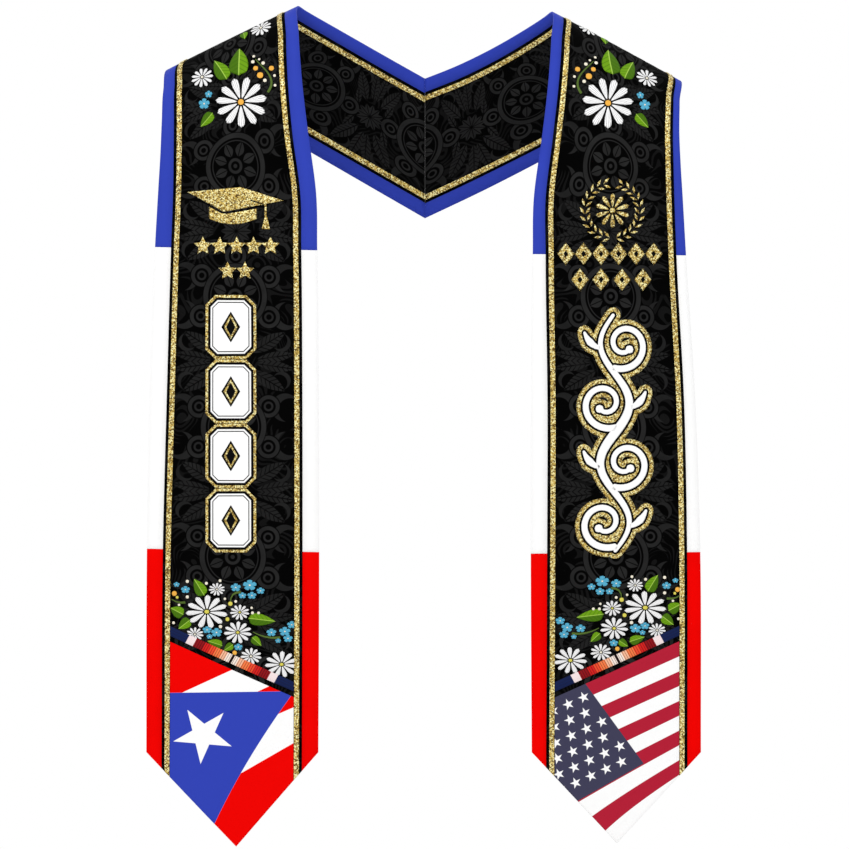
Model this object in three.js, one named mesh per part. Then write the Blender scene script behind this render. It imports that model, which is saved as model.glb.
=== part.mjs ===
// Graduation stole: a long strip of cloth worn over both shoulders, with two pointed hanging ends.
// Millimetres, +Z up, +X to the viewer's right, -Y to the front.
// The origin is the top of the centre-back seam, where the stole sits on the nape of the neck.
// Left and right are the viewer's left and right.

import * as THREE from 'three';

// Sizes of the hanging ends
const END_WIDTH = 152;           // across an end, at the hem
const HEM_HALF_GAP = 95;         // from the middle of the wearer to the inner edge, at the hem
const HEM_DROP = 602;            // from the top of the back seam down to the hem corners
const POINT_LENGTH = 81;         // from the hem corners down to the tip
const LEFT_TIP_ASIDE = 4;        // how far the left tip lies towards the inner edge
const LEFT_TIP_EXTRA = 3;        // how much longer the left point is

// Sizes over the shoulders
const NECK_HALF_SPAN = 113;      // from the middle to the inner edge, at the crest of the shoulder
const CREST_WIDTH = 114;         // level width of the strip at the crest
const CREST_RISE = 63;           // inner end of the crest above the top of the back seam
const CREST_FALL = 57;           // inner end of the crest above its outer end
const RIGHT_SETTLE_NECK = 5;     // how much lower the right crest lies, at the neck
const RIGHT_SETTLE_ARM = 10;     // and at the arm
const RIGHT_SAG_BEHIND = 4.5;    // how far the right half sags between the crest and the back seam
const OUTER_SWAY = 4;            // how far both outer edges lean to the viewer's left at the chest
const CREST_FORWARD = 66;        // the crest in front of the back seam
const FRONT_REACH = 54;          // the hanging ends in front of the crest

// Sizes at the back of the neck
const NAPE_WIDTH = 125;          // height of the back seam
const NAPE_LEAN = 22;            // lower end of the back seam behind its top

// Cloth, bands and trims
const CLOTH_THICKNESS = 1.6;
const BAND_WIDTH = 13;           // coloured band along each edge, at its common width
const TRIM_INSET = 2.6;          // black line between a band and its gold trim
const TRIM_WIDTH = 4.5;          // gold glitter ribbon
const OVERLAY_THICKNESS = 1;     // trims, flag ends and ribbon bars, laid on the body
const PIECE_GAP = 0.3;           // clearance between neighbouring pieces

// Flag ends and ribbon bars: heights above the hem corners, along the cloth
const FLAG_HEIGHT_OUTER = 107;
const FLAG_HEIGHT_INNER = 40;
const BAR_SPACING = 5;           // black strip between the flag end and the ribbon bar
const BAR_WIDTH = 8.8;

// Sections of a hanging end, from the hem up to the crest. Rise is the share of the climb from the
// hem corner to the crest, spread the share of the way from the hem's place to the crest's place
// across, and forward the share of FRONT_REACH. Sway is the share of OUTER_SWAY, and crown how far
// the middle bulges, in cloth widths.
const FRONT_SECTIONS = [
  { name: 'hem', innerRise: 0, outerRise: 0, innerSpread: 0, outerSpread: 0,
    innerForward: 0.9, outerForward: 0.7, sway: 0.3, crown: 0.016 },
  { name: 'red_top', innerRise: 0.268, outerRise: 0.298, innerSpread: -0.05, outerSpread: 0.025,
    innerForward: 0.93, outerForward: 0.72, sway: 0.3, crown: 0.018 },
  { name: 'ribs', innerRise: 0.472, outerRise: 0.516, innerSpread: -0.03, outerSpread: 0.187,
    innerForward: 0.97, outerForward: 0.75, sway: 0.55, crown: 0.02 },
  { name: 'white_top', innerRise: 0.672, outerRise: 0.74, innerSpread: 0.05, outerSpread: 0.527,
    innerForward: 1, outerForward: 0.8, sway: 1, crown: 0.02 },
  { name: 'breast', innerRise: 0.753, outerRise: 0.823, innerSpread: 0.12, outerSpread: 0.67,
    innerForward: 1, outerForward: 0.82, sway: 1, crown: 0.02 },
  { name: 'collar', innerRise: 0.833, outerRise: 0.875, innerSpread: 0.52, outerSpread: 0.765,
    innerForward: 0.97, outerForward: 0.82, sway: 1, crown: 0.018 },
  { name: 'clavicle', innerRise: 0.898, outerRise: 0.922, innerSpread: 0.8, outerSpread: 0.825,
    innerForward: 0.88, outerForward: 0.77, sway: 1, crown: 0.014 },
  { name: 'shoulder_front', innerRise: 0.962, outerRise: 0.968, innerSpread: 0.98, outerSpread: 0.85,
    innerForward: 0.6, outerForward: 0.55, sway: 0.8, crown: 0.008 },
  { name: 'crest', innerRise: 1, outerRise: 1, innerSpread: 1, outerSpread: 1,
    innerForward: 0, outerForward: 0, sway: 0.2, crown: 0.004 },
];

// Sections from behind the crest to the centre-back seam. Along is the share of the way from the
// crest to the seam as seen from the front, and back the share of the way in depth.
const BACK_SECTIONS = [
  { name: 'behind_crest', innerAlong: 0.06, outerAlong: 0.05,
    innerBack: 0.18, outerBack: 0.16, crown: 0.006 },
  { name: 'shoulder_back', innerAlong: 0.25, outerAlong: 0.24,
    innerBack: 0.4, outerBack: 0.42, crown: 0.014 },
  { name: 'back', innerAlong: 0.5, outerAlong: 0.5,
    innerBack: 0.66, outerBack: 0.7, crown: 0.016 },
  { name: 'nape_side', innerAlong: 0.77, outerAlong: 0.77,
    innerBack: 0.89, outerBack: 0.92, crown: 0.012 },
  { name: 'nape_seam', innerAlong: 1, outerAlong: 1,
    innerBack: 1, outerBack: 1, crown: 0.008 },
];

// Widths of the coloured bands at each section, as shares of BAND_WIDTH
const BAND_SHARES = [
  { name: 'hem', leftInner: 1.12, leftOuter: 1.06, rightInner: 0.98, rightOuter: 0.94 },
  { name: 'red_top', leftInner: 1.14, leftOuter: 1.11, rightInner: 1.12, rightOuter: 0.92 },
  { name: 'ribs', leftInner: 1.12, leftOuter: 1.2, rightInner: 1.12, rightOuter: 0.79 },
  { name: 'white_top', leftInner: 1.09, leftOuter: 1.12, rightInner: 0.88, rightOuter: 0.67 },
  { name: 'breast', leftInner: 1.08, leftOuter: 1.04, rightInner: 0.8, rightOuter: 0.59 },
  { name: 'collar', leftInner: 1.07, leftOuter: 0.92, rightInner: 0.74, rightOuter: 0.5 },
  { name: 'clavicle', leftInner: 0.98, leftOuter: 0.85, rightInner: 0.72, rightOuter: 0.45 },
  { name: 'shoulder_front', leftInner: 0.88, leftOuter: 0.8, rightInner: 0.72, rightOuter: 0.46 },
  { name: 'crest', leftInner: 0.85, leftOuter: 0.8, rightInner: 0.74, rightOuter: 0.52 },
  { name: 'behind_crest', leftInner: 0.85, leftOuter: 0.8, rightInner: 0.77, rightOuter: 0.58 },
  { name: 'shoulder_back', leftInner: 0.86, leftOuter: 0.84, rightInner: 0.82, rightOuter: 0.73 },
  { name: 'back', leftInner: 0.87, leftOuter: 0.9, rightInner: 0.86, rightOuter: 0.86 },
  { name: 'nape_side', leftInner: 0.88, leftOuter: 0.93, rightInner: 0.88, rightOuter: 0.93 },
  { name: 'nape_seam', leftInner: 0.88, leftOuter: 0.94, rightInner: 0.88, rightOuter: 0.94 },
];

// Steps of the mesh between one section and the next, and across each kind of piece
const STEPS_BELOW = { red_top: 3, ribs: 3, white_top: 3, breast: 2, collar: 2, clavicle: 2,
  shoulder_front: 3, crest: 4, behind_crest: 3, shoulder_back: 4, back: 4, nape_side: 4, nape_seam: 4 };
const HEM_STEPS = 4;
const BODY_STEPS_ACROSS = 8;
const END_STEPS = 6;
const STRIP_STEPS_ACROSS = 1;

// Finishes
const finish = (color, roughness, metalness = 0) =>
  new THREE.MeshStandardMaterial({ color, roughness, metalness, flatShading: true });
const BLACK_SATIN = finish('#101010', 0.55);
const BLUE_SATIN = finish('#3446b2', 0.5);
const WHITE_SATIN = finish('#f4f4f4', 0.55);
const RED_SATIN = finish('#e90a06', 0.5);
const GOLD_GLITTER = finish('#c9a44a', 0.35, 0.75);
const FLAG_CLOTH = { left: finish('#e90a06', 0.6), right: finish('#be1e38', 0.6) };
const BAR_CLOTH = finish('#d9772c', 0.6);

// The two sides. The settle and sag values lower the right shoulder, and the tip values move the tip.
const SIDES = [
  { name: 'left', sign: -1, settleNeck: 0, settleArm: 0, sagBehind: 0,
    tipAside: LEFT_TIP_ASIDE, tipExtra: LEFT_TIP_EXTRA },
  { name: 'right', sign: 1, settleNeck: RIGHT_SETTLE_NECK, settleArm: RIGHT_SETTLE_ARM,
    sagBehind: RIGHT_SAG_BEHIND, tipAside: 0, tipExtra: 0 },
];

const mix = (from, to, share) => from + (to - from) * share;

// The two rails of a side, which are the inner and outer edges of the strip as rows of points,
// the run of each section, which is the length of cloth from the hem corners, down the middle, the
// tip's share of the way across and its length, and the widths of the bands.
function makeStrip(side) {
  const innerCrest = CREST_RISE - side.settleNeck;
  const outerCrest = CREST_RISE - CREST_FALL - side.settleArm;
  const outerSpan = NECK_HALF_SPAN + CREST_WIDTH;
  const hemOuter = HEM_HALF_GAP + END_WIDTH;
  const inner = [];
  const outer = [];
  const crowns = [];
  const names = [];
  const across = (x, y, z) => new THREE.Vector3(side.sign * x, y, z);
  for (const row of FRONT_SECTIONS) {
    inner.push(across(
      mix(HEM_HALF_GAP, NECK_HALF_SPAN, row.innerSpread),
      -CREST_FORWARD - FRONT_REACH * row.innerForward,
      mix(-HEM_DROP, innerCrest, row.innerRise)));
    outer.push(across(
      mix(hemOuter, outerSpan, row.outerSpread) - side.sign * OUTER_SWAY * row.sway,
      -CREST_FORWARD - FRONT_REACH * row.outerForward,
      mix(-HEM_DROP, outerCrest, row.outerRise)));
  }
  const sag = (along) => side.sagBehind * 4 * along * (1 - along);
  const outerCrestSpan = side.sign * outer[outer.length - 1].x;
  for (const row of BACK_SECTIONS) {
    inner.push(across(
      mix(NECK_HALF_SPAN, 0, row.innerAlong),
      mix(-CREST_FORWARD, 0, row.innerBack),
      mix(innerCrest, 0, row.innerAlong) - sag(row.innerAlong)));
    outer.push(across(
      mix(outerCrestSpan, 0, row.outerAlong),
      mix(-CREST_FORWARD, NAPE_LEAN, row.outerBack),
      mix(outerCrest, -NAPE_WIDTH, row.outerAlong) - sag(row.outerAlong)));
  }
  for (const row of [...FRONT_SECTIONS, ...BACK_SECTIONS]) {
    crowns.push(row.crown * END_WIDTH);
    names.push(row.name);
  }
  const runs = [0];
  for (let i = 1; i < inner.length; i += 1) {
    const before = inner[i - 1].clone().lerp(outer[i - 1], 0.5);
    const here = inner[i].clone().lerp(outer[i], 0.5);
    runs.push(runs[i - 1] + before.distanceTo(here));
  }
  const tip = { share: 0.5 - side.tipAside / END_WIDTH, length: POINT_LENGTH + side.tipExtra };
  const bands = {
    inner: BAND_SHARES.map((row) => BAND_WIDTH * row[`${side.name}Inner`]),
    outer: BAND_SHARES.map((row) => BAND_WIDTH * row[`${side.name}Outer`]),
  };
  return { side, inner, outer, crowns, names, runs, tip, bands };
}

// A smooth curve through the values of the sections, at a given run. Each section's slope is the
// mean of the slopes beside it, weighted by the nearness of its neighbours. Below the hem corners
// the curve goes straight on.
function follow(values, runs, run) {
  const last = runs.length - 1;
  const slopeBetween = (i) => (values[i + 1] - values[i]) / (runs[i + 1] - runs[i]);
  const slopeAt = (i) => {
    if (i === 0) return slopeBetween(0);
    if (i === last) return slopeBetween(last - 1);
    const before = runs[i] - runs[i - 1];
    const after = runs[i + 1] - runs[i];
    return (slopeBetween(i - 1) * after + slopeBetween(i) * before) / (before + after);
  };
  if (run <= 0) return values[0] + slopeAt(0) * run;
  let i = 0;
  while (i < last - 1 && run > runs[i + 1]) i += 1;
  const length = runs[i + 1] - runs[i];
  const t = (run - runs[i]) / length;
  const arrive = t * t * (3 - 2 * t);
  return mix(values[i], values[i + 1], arrive)
    + slopeAt(i) * length * t * (1 - t) ** 2
    - slopeAt(i + 1) * length * t * t * (1 - t);
}

const railPoint = (strip, rail, run) => new THREE.Vector3(
  follow(strip[rail].map((p) => p.x), strip.runs, run),
  follow(strip[rail].map((p) => p.y), strip.runs, run),
  follow(strip[rail].map((p) => p.z), strip.runs, run));

// The ruled surface between the rails, at a run and a share of the way from the inner edge
const ruledPoint = (strip, run, share) =>
  railPoint(strip, 'inner', run).lerp(railPoint(strip, 'outer', run), share);

// Half the length of cloth over which a direction is measured
const PROBE = 0.5;

function runDirection(strip, run, share) {
  return ruledPoint(strip, run + PROBE, share).sub(ruledPoint(strip, run - PROBE, share)).normalize();
}

// Direction out of the cloth's outer face: to the front on the hanging ends, to the back behind
function outward(strip, run, share) {
  const along = runDirection(strip, run, share);
  const across = railPoint(strip, 'outer', run).sub(railPoint(strip, 'inner', run));
  return across.cross(along).multiplyScalar(strip.side.sign).normalize();
}

// A point of the crowned cloth, lifted off its middle surface. The halves meet in the plane of the
// centre-back seam, so no point goes past that plane.
function clothPoint(strip, run, share, lift) {
  const crown = follow(strip.crowns, strip.runs, run) * 4 * share * (1 - share);
  const point = ruledPoint(strip, run, share)
    .addScaledVector(outward(strip, run, share), crown + lift);
  const nearest = PIECE_GAP / 2;
  point.x = strip.side.sign * Math.max(strip.side.sign * point.x, nearest);
  return point;
}

// The share of the way across that lies a given distance of cloth in from an edge. The rulings
// slant behind the shoulder, so a distance square to the edge is longer along the ruling there.
function shareFromEdge(strip, run, edge, distance) {
  const ruling = railPoint(strip, 'outer', run).sub(railPoint(strip, 'inner', run));
  const along = runDirection(strip, run, edge === 'inner' ? 0 : 1);
  const square = ruling.clone().normalize().cross(along).length();
  const share = distance / (ruling.length() * square);
  return edge === 'inner' ? share : 1 - share;
}

// Heights along the cloth of the pointed hem and of the flag end's slanted top, at a share across
const hemRun = (strip, share) =>
  -strip.tip.length * Math.min(share / strip.tip.share, (1 - share) / (1 - strip.tip.share));
const flagTopRun = (share) => mix(FLAG_HEIGHT_INNER, FLAG_HEIGHT_OUTER, share);

// Runs of the mesh rows from one named section to another, the same in every piece of a side
function rowsBetween(strip, fromName, toName) {
  const from = strip.names.indexOf(fromName);
  const to = strip.names.indexOf(toName);
  const rows = [strip.runs[from]];
  for (let i = from + 1; i <= to; i += 1) {
    const steps = Math.round(STEPS_BELOW[strip.names[i]]);
    for (let k = 1; k <= steps; k += 1) rows.push(mix(strip.runs[i - 1], strip.runs[i], k / steps));
  }
  return rows;
}

// A share of the way from one share to another. The middle of a piece that has the tip is the tip.
function shareAt(strip, from, to, place) {
  const tip = strip.tip.share;
  if (from >= tip || to <= tip) return mix(from, to, place);
  return place < 0.5 ? mix(from, tip, 2 * place) : mix(tip, to, 2 * place - 1);
}

// The sides of a piece: an edge of the strip, or a distance of cloth past the band there
const atEdge = (edge) => ({ edge, distance: () => 0 });
const pastBand = (strip, edge, beyond) =>
  ({ edge, distance: (run) => follow(strip.bands[edge], strip.runs, run) + beyond });
const sharesOf = (strip, run, sides) =>
  sides.map(({ edge, distance }) => shareFromEdge(strip, run, edge, distance(run)));

// A closed piece of cloth. Columns go from its inner side to its outer side, and rows up the run:
// runAt gives the run of a row at a share across. Low and high are the lifts of its two faces.
function clothPiece(strip, { sides, columns, rowCount, runAt, low, high }) {
  const position = [];
  for (const lift of [low, high]) {
    for (let j = 0; j < rowCount; j += 1) {
      for (let i = 0; i <= columns; i += 1) {
        const [hemFrom, hemTo] = sharesOf(strip, 0, sides);
        const nearRun = Math.max(runAt(j, shareAt(strip, hemFrom, hemTo, i / columns)), 0);
        const [from, to] = sharesOf(strip, nearRun, sides);
        const share = shareAt(strip, from, to, i / columns);
        position.push(...clothPoint(strip, runAt(j, share), share, lift).toArray());
      }
    }
  }
  const width = columns + 1;
  const layer = rowCount * width;
  const at = (face, j, i) => face * layer + j * width + i;
  const index = [];
  const quad = (a, b, c, d) => index.push(a, b, c, a, c, d);
  for (let j = 0; j + 1 < rowCount; j += 1) {
    for (let i = 0; i < columns; i += 1) {
      quad(at(1, j, i), at(1, j, i + 1), at(1, j + 1, i + 1), at(1, j + 1, i));
      quad(at(0, j, i), at(0, j + 1, i), at(0, j + 1, i + 1), at(0, j, i + 1));
    }
    quad(at(0, j, 0), at(1, j, 0), at(1, j + 1, 0), at(0, j + 1, 0));
    quad(at(0, j, columns), at(0, j + 1, columns), at(1, j + 1, columns), at(1, j, columns));
  }
  const top = rowCount - 1;
  for (let i = 0; i < columns; i += 1) {
    quad(at(0, 0, i), at(0, 0, i + 1), at(1, 0, i + 1), at(1, 0, i));
    quad(at(0, top, i), at(1, top, i), at(1, top, i + 1), at(0, top, i + 1));
  }
  // The winding above faces out on the right side, and the left side is its mirror image
  if (strip.side.sign < 0) index.reverse();
  const geometry = new THREE.BufferGeometry();
  geometry.setAttribute('position', new THREE.Float32BufferAttribute(position, 3));
  geometry.setIndex(index);
  geometry.computeVertexNormals();
  return geometry;
}

const FACE = CLOTH_THICKNESS / 2;
const CLOTH_FACES = { low: -FACE, high: FACE };
const OUTER_OVERLAY = { low: FACE + PIECE_GAP, high: FACE + PIECE_GAP + OVERLAY_THICKNESS };
const INNER_OVERLAY = { low: -FACE - PIECE_GAP - OVERLAY_THICKNESS, high: -FACE - PIECE_GAP };
const TRIM_FAR = TRIM_INSET + TRIM_WIDTH;

// Rows from the pointed hem up to a named section
function hemRows(strip, toName) {
  const rows = rowsBetween(strip, 'hem', toName);
  const start = rows[1];
  const upper = rows.slice(1);
  return {
    rowCount: HEM_STEPS + upper.length,
    runAt: (j, share) =>
      (j < HEM_STEPS ? mix(hemRun(strip, share), start, j / HEM_STEPS) : upper[j - HEM_STEPS]),
  };
}

// Rows between two named sections, drawn in at both ends by half the gap to the next piece
function plainRows(strip, fromName, toName) {
  const rows = rowsBetween(strip, fromName, toName);
  rows[0] += PIECE_GAP / 2;
  if (toName !== 'nape_seam') rows[rows.length - 1] -= PIECE_GAP / 2;
  return { rowCount: rows.length, runAt: (j) => rows[j] };
}

const part = new THREE.Group();

function addPiece(name, geometry, material) {
  const mesh = new THREE.Mesh(geometry, material);
  mesh.name = name;
  part.add(mesh);
}

// The black body, from the pointed hem to the centre-back seam
function addBody(strip) {
  const sides = ['inner', 'outer'].map((edge) => pastBand(strip, edge, PIECE_GAP / 2));
  const geometry = clothPiece(strip,
    { sides, columns: BODY_STEPS_ACROSS, ...hemRows(strip, 'nape_seam'), ...CLOTH_FACES });
  addPiece(`${strip.side.name}_body`, geometry, BLACK_SATIN);
}

// The coloured bands along both edges: red below, white, and blue over the shoulder
function addBands(strip) {
  const edges = {
    inner: [atEdge('inner'), pastBand(strip, 'inner', -PIECE_GAP / 2)],
    outer: [pastBand(strip, 'outer', -PIECE_GAP / 2), atEdge('outer')],
  };
  const redRows = hemRows(strip, 'red_top');
  const top = redRows.rowCount - 1;
  const lengths = [
    { colour: 'red', material: RED_SATIN, rowCount: redRows.rowCount,
      runAt: (j, share) => redRows.runAt(j, share) - (j === top ? PIECE_GAP / 2 : 0) },
    { colour: 'white', material: WHITE_SATIN, ...plainRows(strip, 'red_top', 'white_top') },
    { colour: 'blue', material: BLUE_SATIN, ...plainRows(strip, 'white_top', 'nape_seam') },
  ];
  for (const [edge, sides] of Object.entries(edges)) {
    for (const { colour, material, rowCount, runAt } of lengths) {
      const geometry = clothPiece(strip,
        { sides, columns: STRIP_STEPS_ACROSS, rowCount, runAt, ...CLOTH_FACES });
      addPiece(`${strip.side.name}_${edge}_band_${colour}`, geometry, material);
    }
  }
}

// The gold trims: on the outer face from hem to back seam, and on the inner face behind the neck
function addTrims(strip) {
  const places = {
    inner: [pastBand(strip, 'inner', TRIM_INSET), pastBand(strip, 'inner', TRIM_FAR)],
    outer: [pastBand(strip, 'outer', TRIM_FAR), pastBand(strip, 'outer', TRIM_INSET)],
  };
  const neckNames = { inner: 'upper', outer: 'lower' };
  for (const [edge, sides] of Object.entries(places)) {
    const long = clothPiece(strip,
      { sides, columns: STRIP_STEPS_ACROSS, ...hemRows(strip, 'nape_seam'), ...OUTER_OVERLAY });
    addPiece(`${strip.side.name}_${edge}_gold_trim`, long, GOLD_GLITTER);
    const neck = clothPiece(strip,
      { sides, columns: STRIP_STEPS_ACROSS, ...plainRows(strip, 'crest', 'nape_seam'), ...INNER_OVERLAY });
    addPiece(`${strip.side.name}_neck_${neckNames[edge]}_gold_trim`, neck, GOLD_GLITTER);
  }
}

// The flag end and the ribbon bar above it, between the gold trims
function addEndPanels(strip) {
  const sides = ['inner', 'outer'].map((edge) => pastBand(strip, edge, TRIM_FAR + PIECE_GAP));
  const columns = BODY_STEPS_ACROSS;
  const flag = clothPiece(strip, {
    sides, columns, rowCount: END_STEPS + 1, ...OUTER_OVERLAY,
    runAt: (j, share) => mix(hemRun(strip, share), flagTopRun(share), j / END_STEPS) });
  addPiece(`${strip.side.name}_flag_end`, flag, FLAG_CLOTH[strip.side.name]);
  const bar = clothPiece(strip, {
    sides, columns, rowCount: 2, ...OUTER_OVERLAY,
    runAt: (j, share) => flagTopRun(share) + BAR_SPACING + j * BAR_WIDTH });
  addPiece(`${strip.side.name}_ribbon_bar`, bar, BAR_CLOTH);
}

for (const side of SIDES) {
  const strip = makeStrip(side);
  addBody(strip);
  addBands(strip);
  addTrims(strip);
  addEndPanels(strip);
}

export default part;
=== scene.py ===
"""Graduation stole: cloth, bands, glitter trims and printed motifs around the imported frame.

Lengths in this script are millimetres, and become metres where a mesh is made. The stole's surface is
worked out from the same sections as the solids. Left and right are the viewer's.
"""
from functools import reduce

import bpy
import numpy as np
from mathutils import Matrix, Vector


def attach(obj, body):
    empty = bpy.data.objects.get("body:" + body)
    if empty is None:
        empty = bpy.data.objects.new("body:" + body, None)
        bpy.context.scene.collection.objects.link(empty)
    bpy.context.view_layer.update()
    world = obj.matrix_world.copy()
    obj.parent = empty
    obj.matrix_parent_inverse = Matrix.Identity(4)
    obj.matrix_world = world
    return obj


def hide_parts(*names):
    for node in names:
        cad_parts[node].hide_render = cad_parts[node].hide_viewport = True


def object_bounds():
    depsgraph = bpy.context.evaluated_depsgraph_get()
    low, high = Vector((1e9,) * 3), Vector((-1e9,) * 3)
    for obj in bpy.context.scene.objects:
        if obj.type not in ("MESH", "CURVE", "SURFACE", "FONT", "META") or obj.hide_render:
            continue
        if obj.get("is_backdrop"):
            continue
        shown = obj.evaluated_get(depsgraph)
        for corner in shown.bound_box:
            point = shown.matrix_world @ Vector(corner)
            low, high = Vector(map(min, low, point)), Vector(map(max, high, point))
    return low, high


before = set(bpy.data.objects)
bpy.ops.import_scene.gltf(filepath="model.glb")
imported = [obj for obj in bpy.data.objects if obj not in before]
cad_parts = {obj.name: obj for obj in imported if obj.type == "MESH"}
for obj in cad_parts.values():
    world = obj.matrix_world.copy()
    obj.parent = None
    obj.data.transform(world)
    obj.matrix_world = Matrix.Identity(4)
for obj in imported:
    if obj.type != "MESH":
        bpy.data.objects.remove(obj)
CAD_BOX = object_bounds()
METRES = 0.001

# Sizes of the hanging ends
END_WIDTH = 152
HEM_HALF_GAP = 95
HEM_DROP = 602
POINT_LENGTH = 81
OUTER_SWAY = 4

# Sizes over the shoulders and at the nape
NECK_HALF_SPAN = 113
CREST_WIDTH = 114
CREST_RISE = 63
CREST_FALL = 57
CREST_FORWARD = 66
FRONT_REACH = 54
NAPE_WIDTH = 125
NAPE_LEAN = 22

# Cloth, bands and trims
CLOTH_THICKNESS = 1.6
BAND_WIDTH = 13
TRIM_INSET = 2.6
TRIM_WIDTH = 4.5
PIECE_GAP = 0.3
FLAG_HEIGHT_OUTER = 107
FLAG_HEIGHT_INNER = 40
BAR_SPACING = 5
BAR_WIDTH = 8.8

SIDES = {"left": {"sign": -1, "settle_neck": 0, "settle_arm": 0, "sag": 0, "tip_aside": 4, "tip_extra": 3},
         "right": {"sign": 1, "settle_neck": 5, "settle_arm": 10, "sag": 4.5, "tip_aside": 0, "tip_extra": 0}}

# Sections of a hanging end, from the hem to the crest of the shoulder
FRONT_COLUMNS = ("inner_rise", "outer_rise", "inner_spread", "outer_spread", "inner_forward", "outer_forward",
                 "sway", "crown")
FRONT_SECTIONS = {
    "hem": (0, 0, 0, 0, 0.9, 0.7, 0.3, 0.016),
    "red_top": (0.268, 0.298, -0.05, 0.025, 0.93, 0.72, 0.3, 0.018),
    "ribs": (0.472, 0.516, -0.03, 0.187, 0.97, 0.75, 0.55, 0.02),
    "white_top": (0.672, 0.74, 0.05, 0.527, 1, 0.8, 1, 0.02),
    "breast": (0.753, 0.823, 0.12, 0.67, 1, 0.82, 1, 0.02),
    "collar": (0.833, 0.875, 0.52, 0.765, 0.97, 0.82, 1, 0.018),
    "clavicle": (0.898, 0.922, 0.8, 0.825, 0.88, 0.77, 1, 0.014),
    "shoulder_front": (0.962, 0.968, 0.98, 0.85, 0.6, 0.55, 0.8, 0.008),
    "crest": (1, 1, 1, 1, 0, 0, 0.2, 0.004),
}

# Sections from behind the crest to the centre-back seam
BACK_COLUMNS = ("inner_along", "outer_along", "inner_back", "outer_back", "crown")
BACK_SECTIONS = {
    "behind_crest": (0.06, 0.05, 0.18, 0.16, 0.006),
    "shoulder_back": (0.25, 0.24, 0.4, 0.42, 0.014),
    "back": (0.5, 0.5, 0.66, 0.7, 0.016),
    "nape_side": (0.77, 0.77, 0.89, 0.92, 0.012),
    "nape_seam": (1, 1, 1, 1, 0.008),
}
NAMES = [*FRONT_SECTIONS, *BACK_SECTIONS]

# Soft hang of the fronts: how far it dies out below the clavicle, and the lengths and heights of its waves
DRAPE_FADE = 260
SLOW_WAVE, SLOW_HEIGHT = 118, 0.8
CROSS_WAVE, CROSS_HEIGHT = 560, 0.7

# Widths of the coloured bands at each section, as shares of BAND_WIDTH
BAND_COLUMNS = ("left_inner", "left_outer", "right_inner", "right_outer")
BAND_SHARES = {
    "hem": (1.12, 1.06, 0.98, 0.94),
    "red_top": (1.14, 1.11, 1.12, 0.92),
    "ribs": (1.12, 1.2, 1.12, 0.79),
    "white_top": (1.09, 1.12, 0.88, 0.67),
    "breast": (1.08, 1.04, 0.8, 0.59),
    "collar": (1.07, 0.92, 0.74, 0.5),
    "clavicle": (0.98, 0.85, 0.72, 0.45),
    "shoulder_front": (0.88, 0.8, 0.72, 0.46),
    "crest": (0.85, 0.8, 0.74, 0.52),
    "behind_crest": (0.85, 0.8, 0.77, 0.58),
    "shoulder_back": (0.86, 0.84, 0.82, 0.73),
    "back": (0.87, 0.9, 0.86, 0.86),
    "nape_side": (0.88, 0.93, 0.88, 0.93),
    "nape_seam": (0.88, 0.94, 0.88, 0.94),
}

CREST = NAMES.index("crest")
FACE = CLOTH_THICKNESS / 2
MEETING = 0.004
GRID_SPACING = 4.0
RUN_STEP, SHARE_STEP = 0.5, 0.005
EDGE_RADIUS = 0.12
SEAM_RADIUS = 0.004
ROUND_STEPS = 3
TYPICAL_RUN = 200.0
OVERLAY_BASE = FACE + 0.02
OVERLAY_TOP = FACE + 0.8
TRIM_FAR = TRIM_INSET + TRIM_WIDTH


# The surface of the cloth

def mix(a, b, share):
    """The value a share of the way from a to b."""
    return a + (b - a) * share


def named(columns, rows):
    """Rows of a table as dictionaries by column name."""
    return [dict(zip(columns, row)) for row in rows]


def make_strip(name):
    """The two edges of one side as rows of section points, and the run of cloth at each section.

    A point goes straight from the hem's place to the crest's, and on to the seam's, by the shares of its
    section. Behind the crest it sags by 4s(1-s).
    """
    side = SIDES[name]
    front = dict(zip(FRONT_COLUMNS, np.array(list(FRONT_SECTIONS.values()), float).T))
    back = dict(zip(BACK_COLUMNS, np.array(list(BACK_SECTIONS.values()), float).T))

    def edge(which, hem_x, crest_x, crest_z, nape_y, nape_z, sway):
        """The points of one edge, from its places at the hem, the crest and the seam."""
        front_x = mix(hem_x, crest_x, front[f"{which}_spread"]) - side["sign"] * sway * front["sway"]
        behind = back[f"{which}_along"]
        x = np.concatenate([front_x, mix(front_x[-1], 0, behind)])
        y = np.concatenate([-CREST_FORWARD - FRONT_REACH * front[f"{which}_forward"],
                            mix(-CREST_FORWARD, nape_y, back[f"{which}_back"])])
        z = np.concatenate([mix(-HEM_DROP, crest_z, front[f"{which}_rise"]),
                            mix(crest_z, nape_z, behind) - side["sag"] * 4 * behind * (1 - behind)])
        return np.stack([side["sign"] * x, y, z], axis=1)

    inner = edge("inner", HEM_HALF_GAP, NECK_HALF_SPAN, CREST_RISE - side["settle_neck"], 0, 0, 0)
    outer = edge("outer", HEM_HALF_GAP + END_WIDTH, NECK_HALF_SPAN + CREST_WIDTH,
                 CREST_RISE - CREST_FALL - side["settle_arm"], NAPE_LEAN, -NAPE_WIDTH, OUTER_SWAY)
    steps = np.linalg.norm(np.diff((inner + outer) / 2, axis=0), axis=1)
    bands = dict(zip(BAND_COLUMNS, BAND_WIDTH * np.array(list(BAND_SHARES.values())).T[..., None]))
    return {"name": name, "sign": side["sign"], "inner": inner, "outer": outer,
            "crown": np.concatenate([front["crown"], back["crown"]])[:, None] * END_WIDTH,
            "runs": np.concatenate([[0], np.cumsum(steps)]),
            "bands": {edge: bands[f"{name}_{edge}"] for edge in ("inner", "outer")},
            "tip": 0.5 - side["tip_aside"] / END_WIDTH, "point": POINT_LENGTH + side["tip_extra"]}


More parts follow.
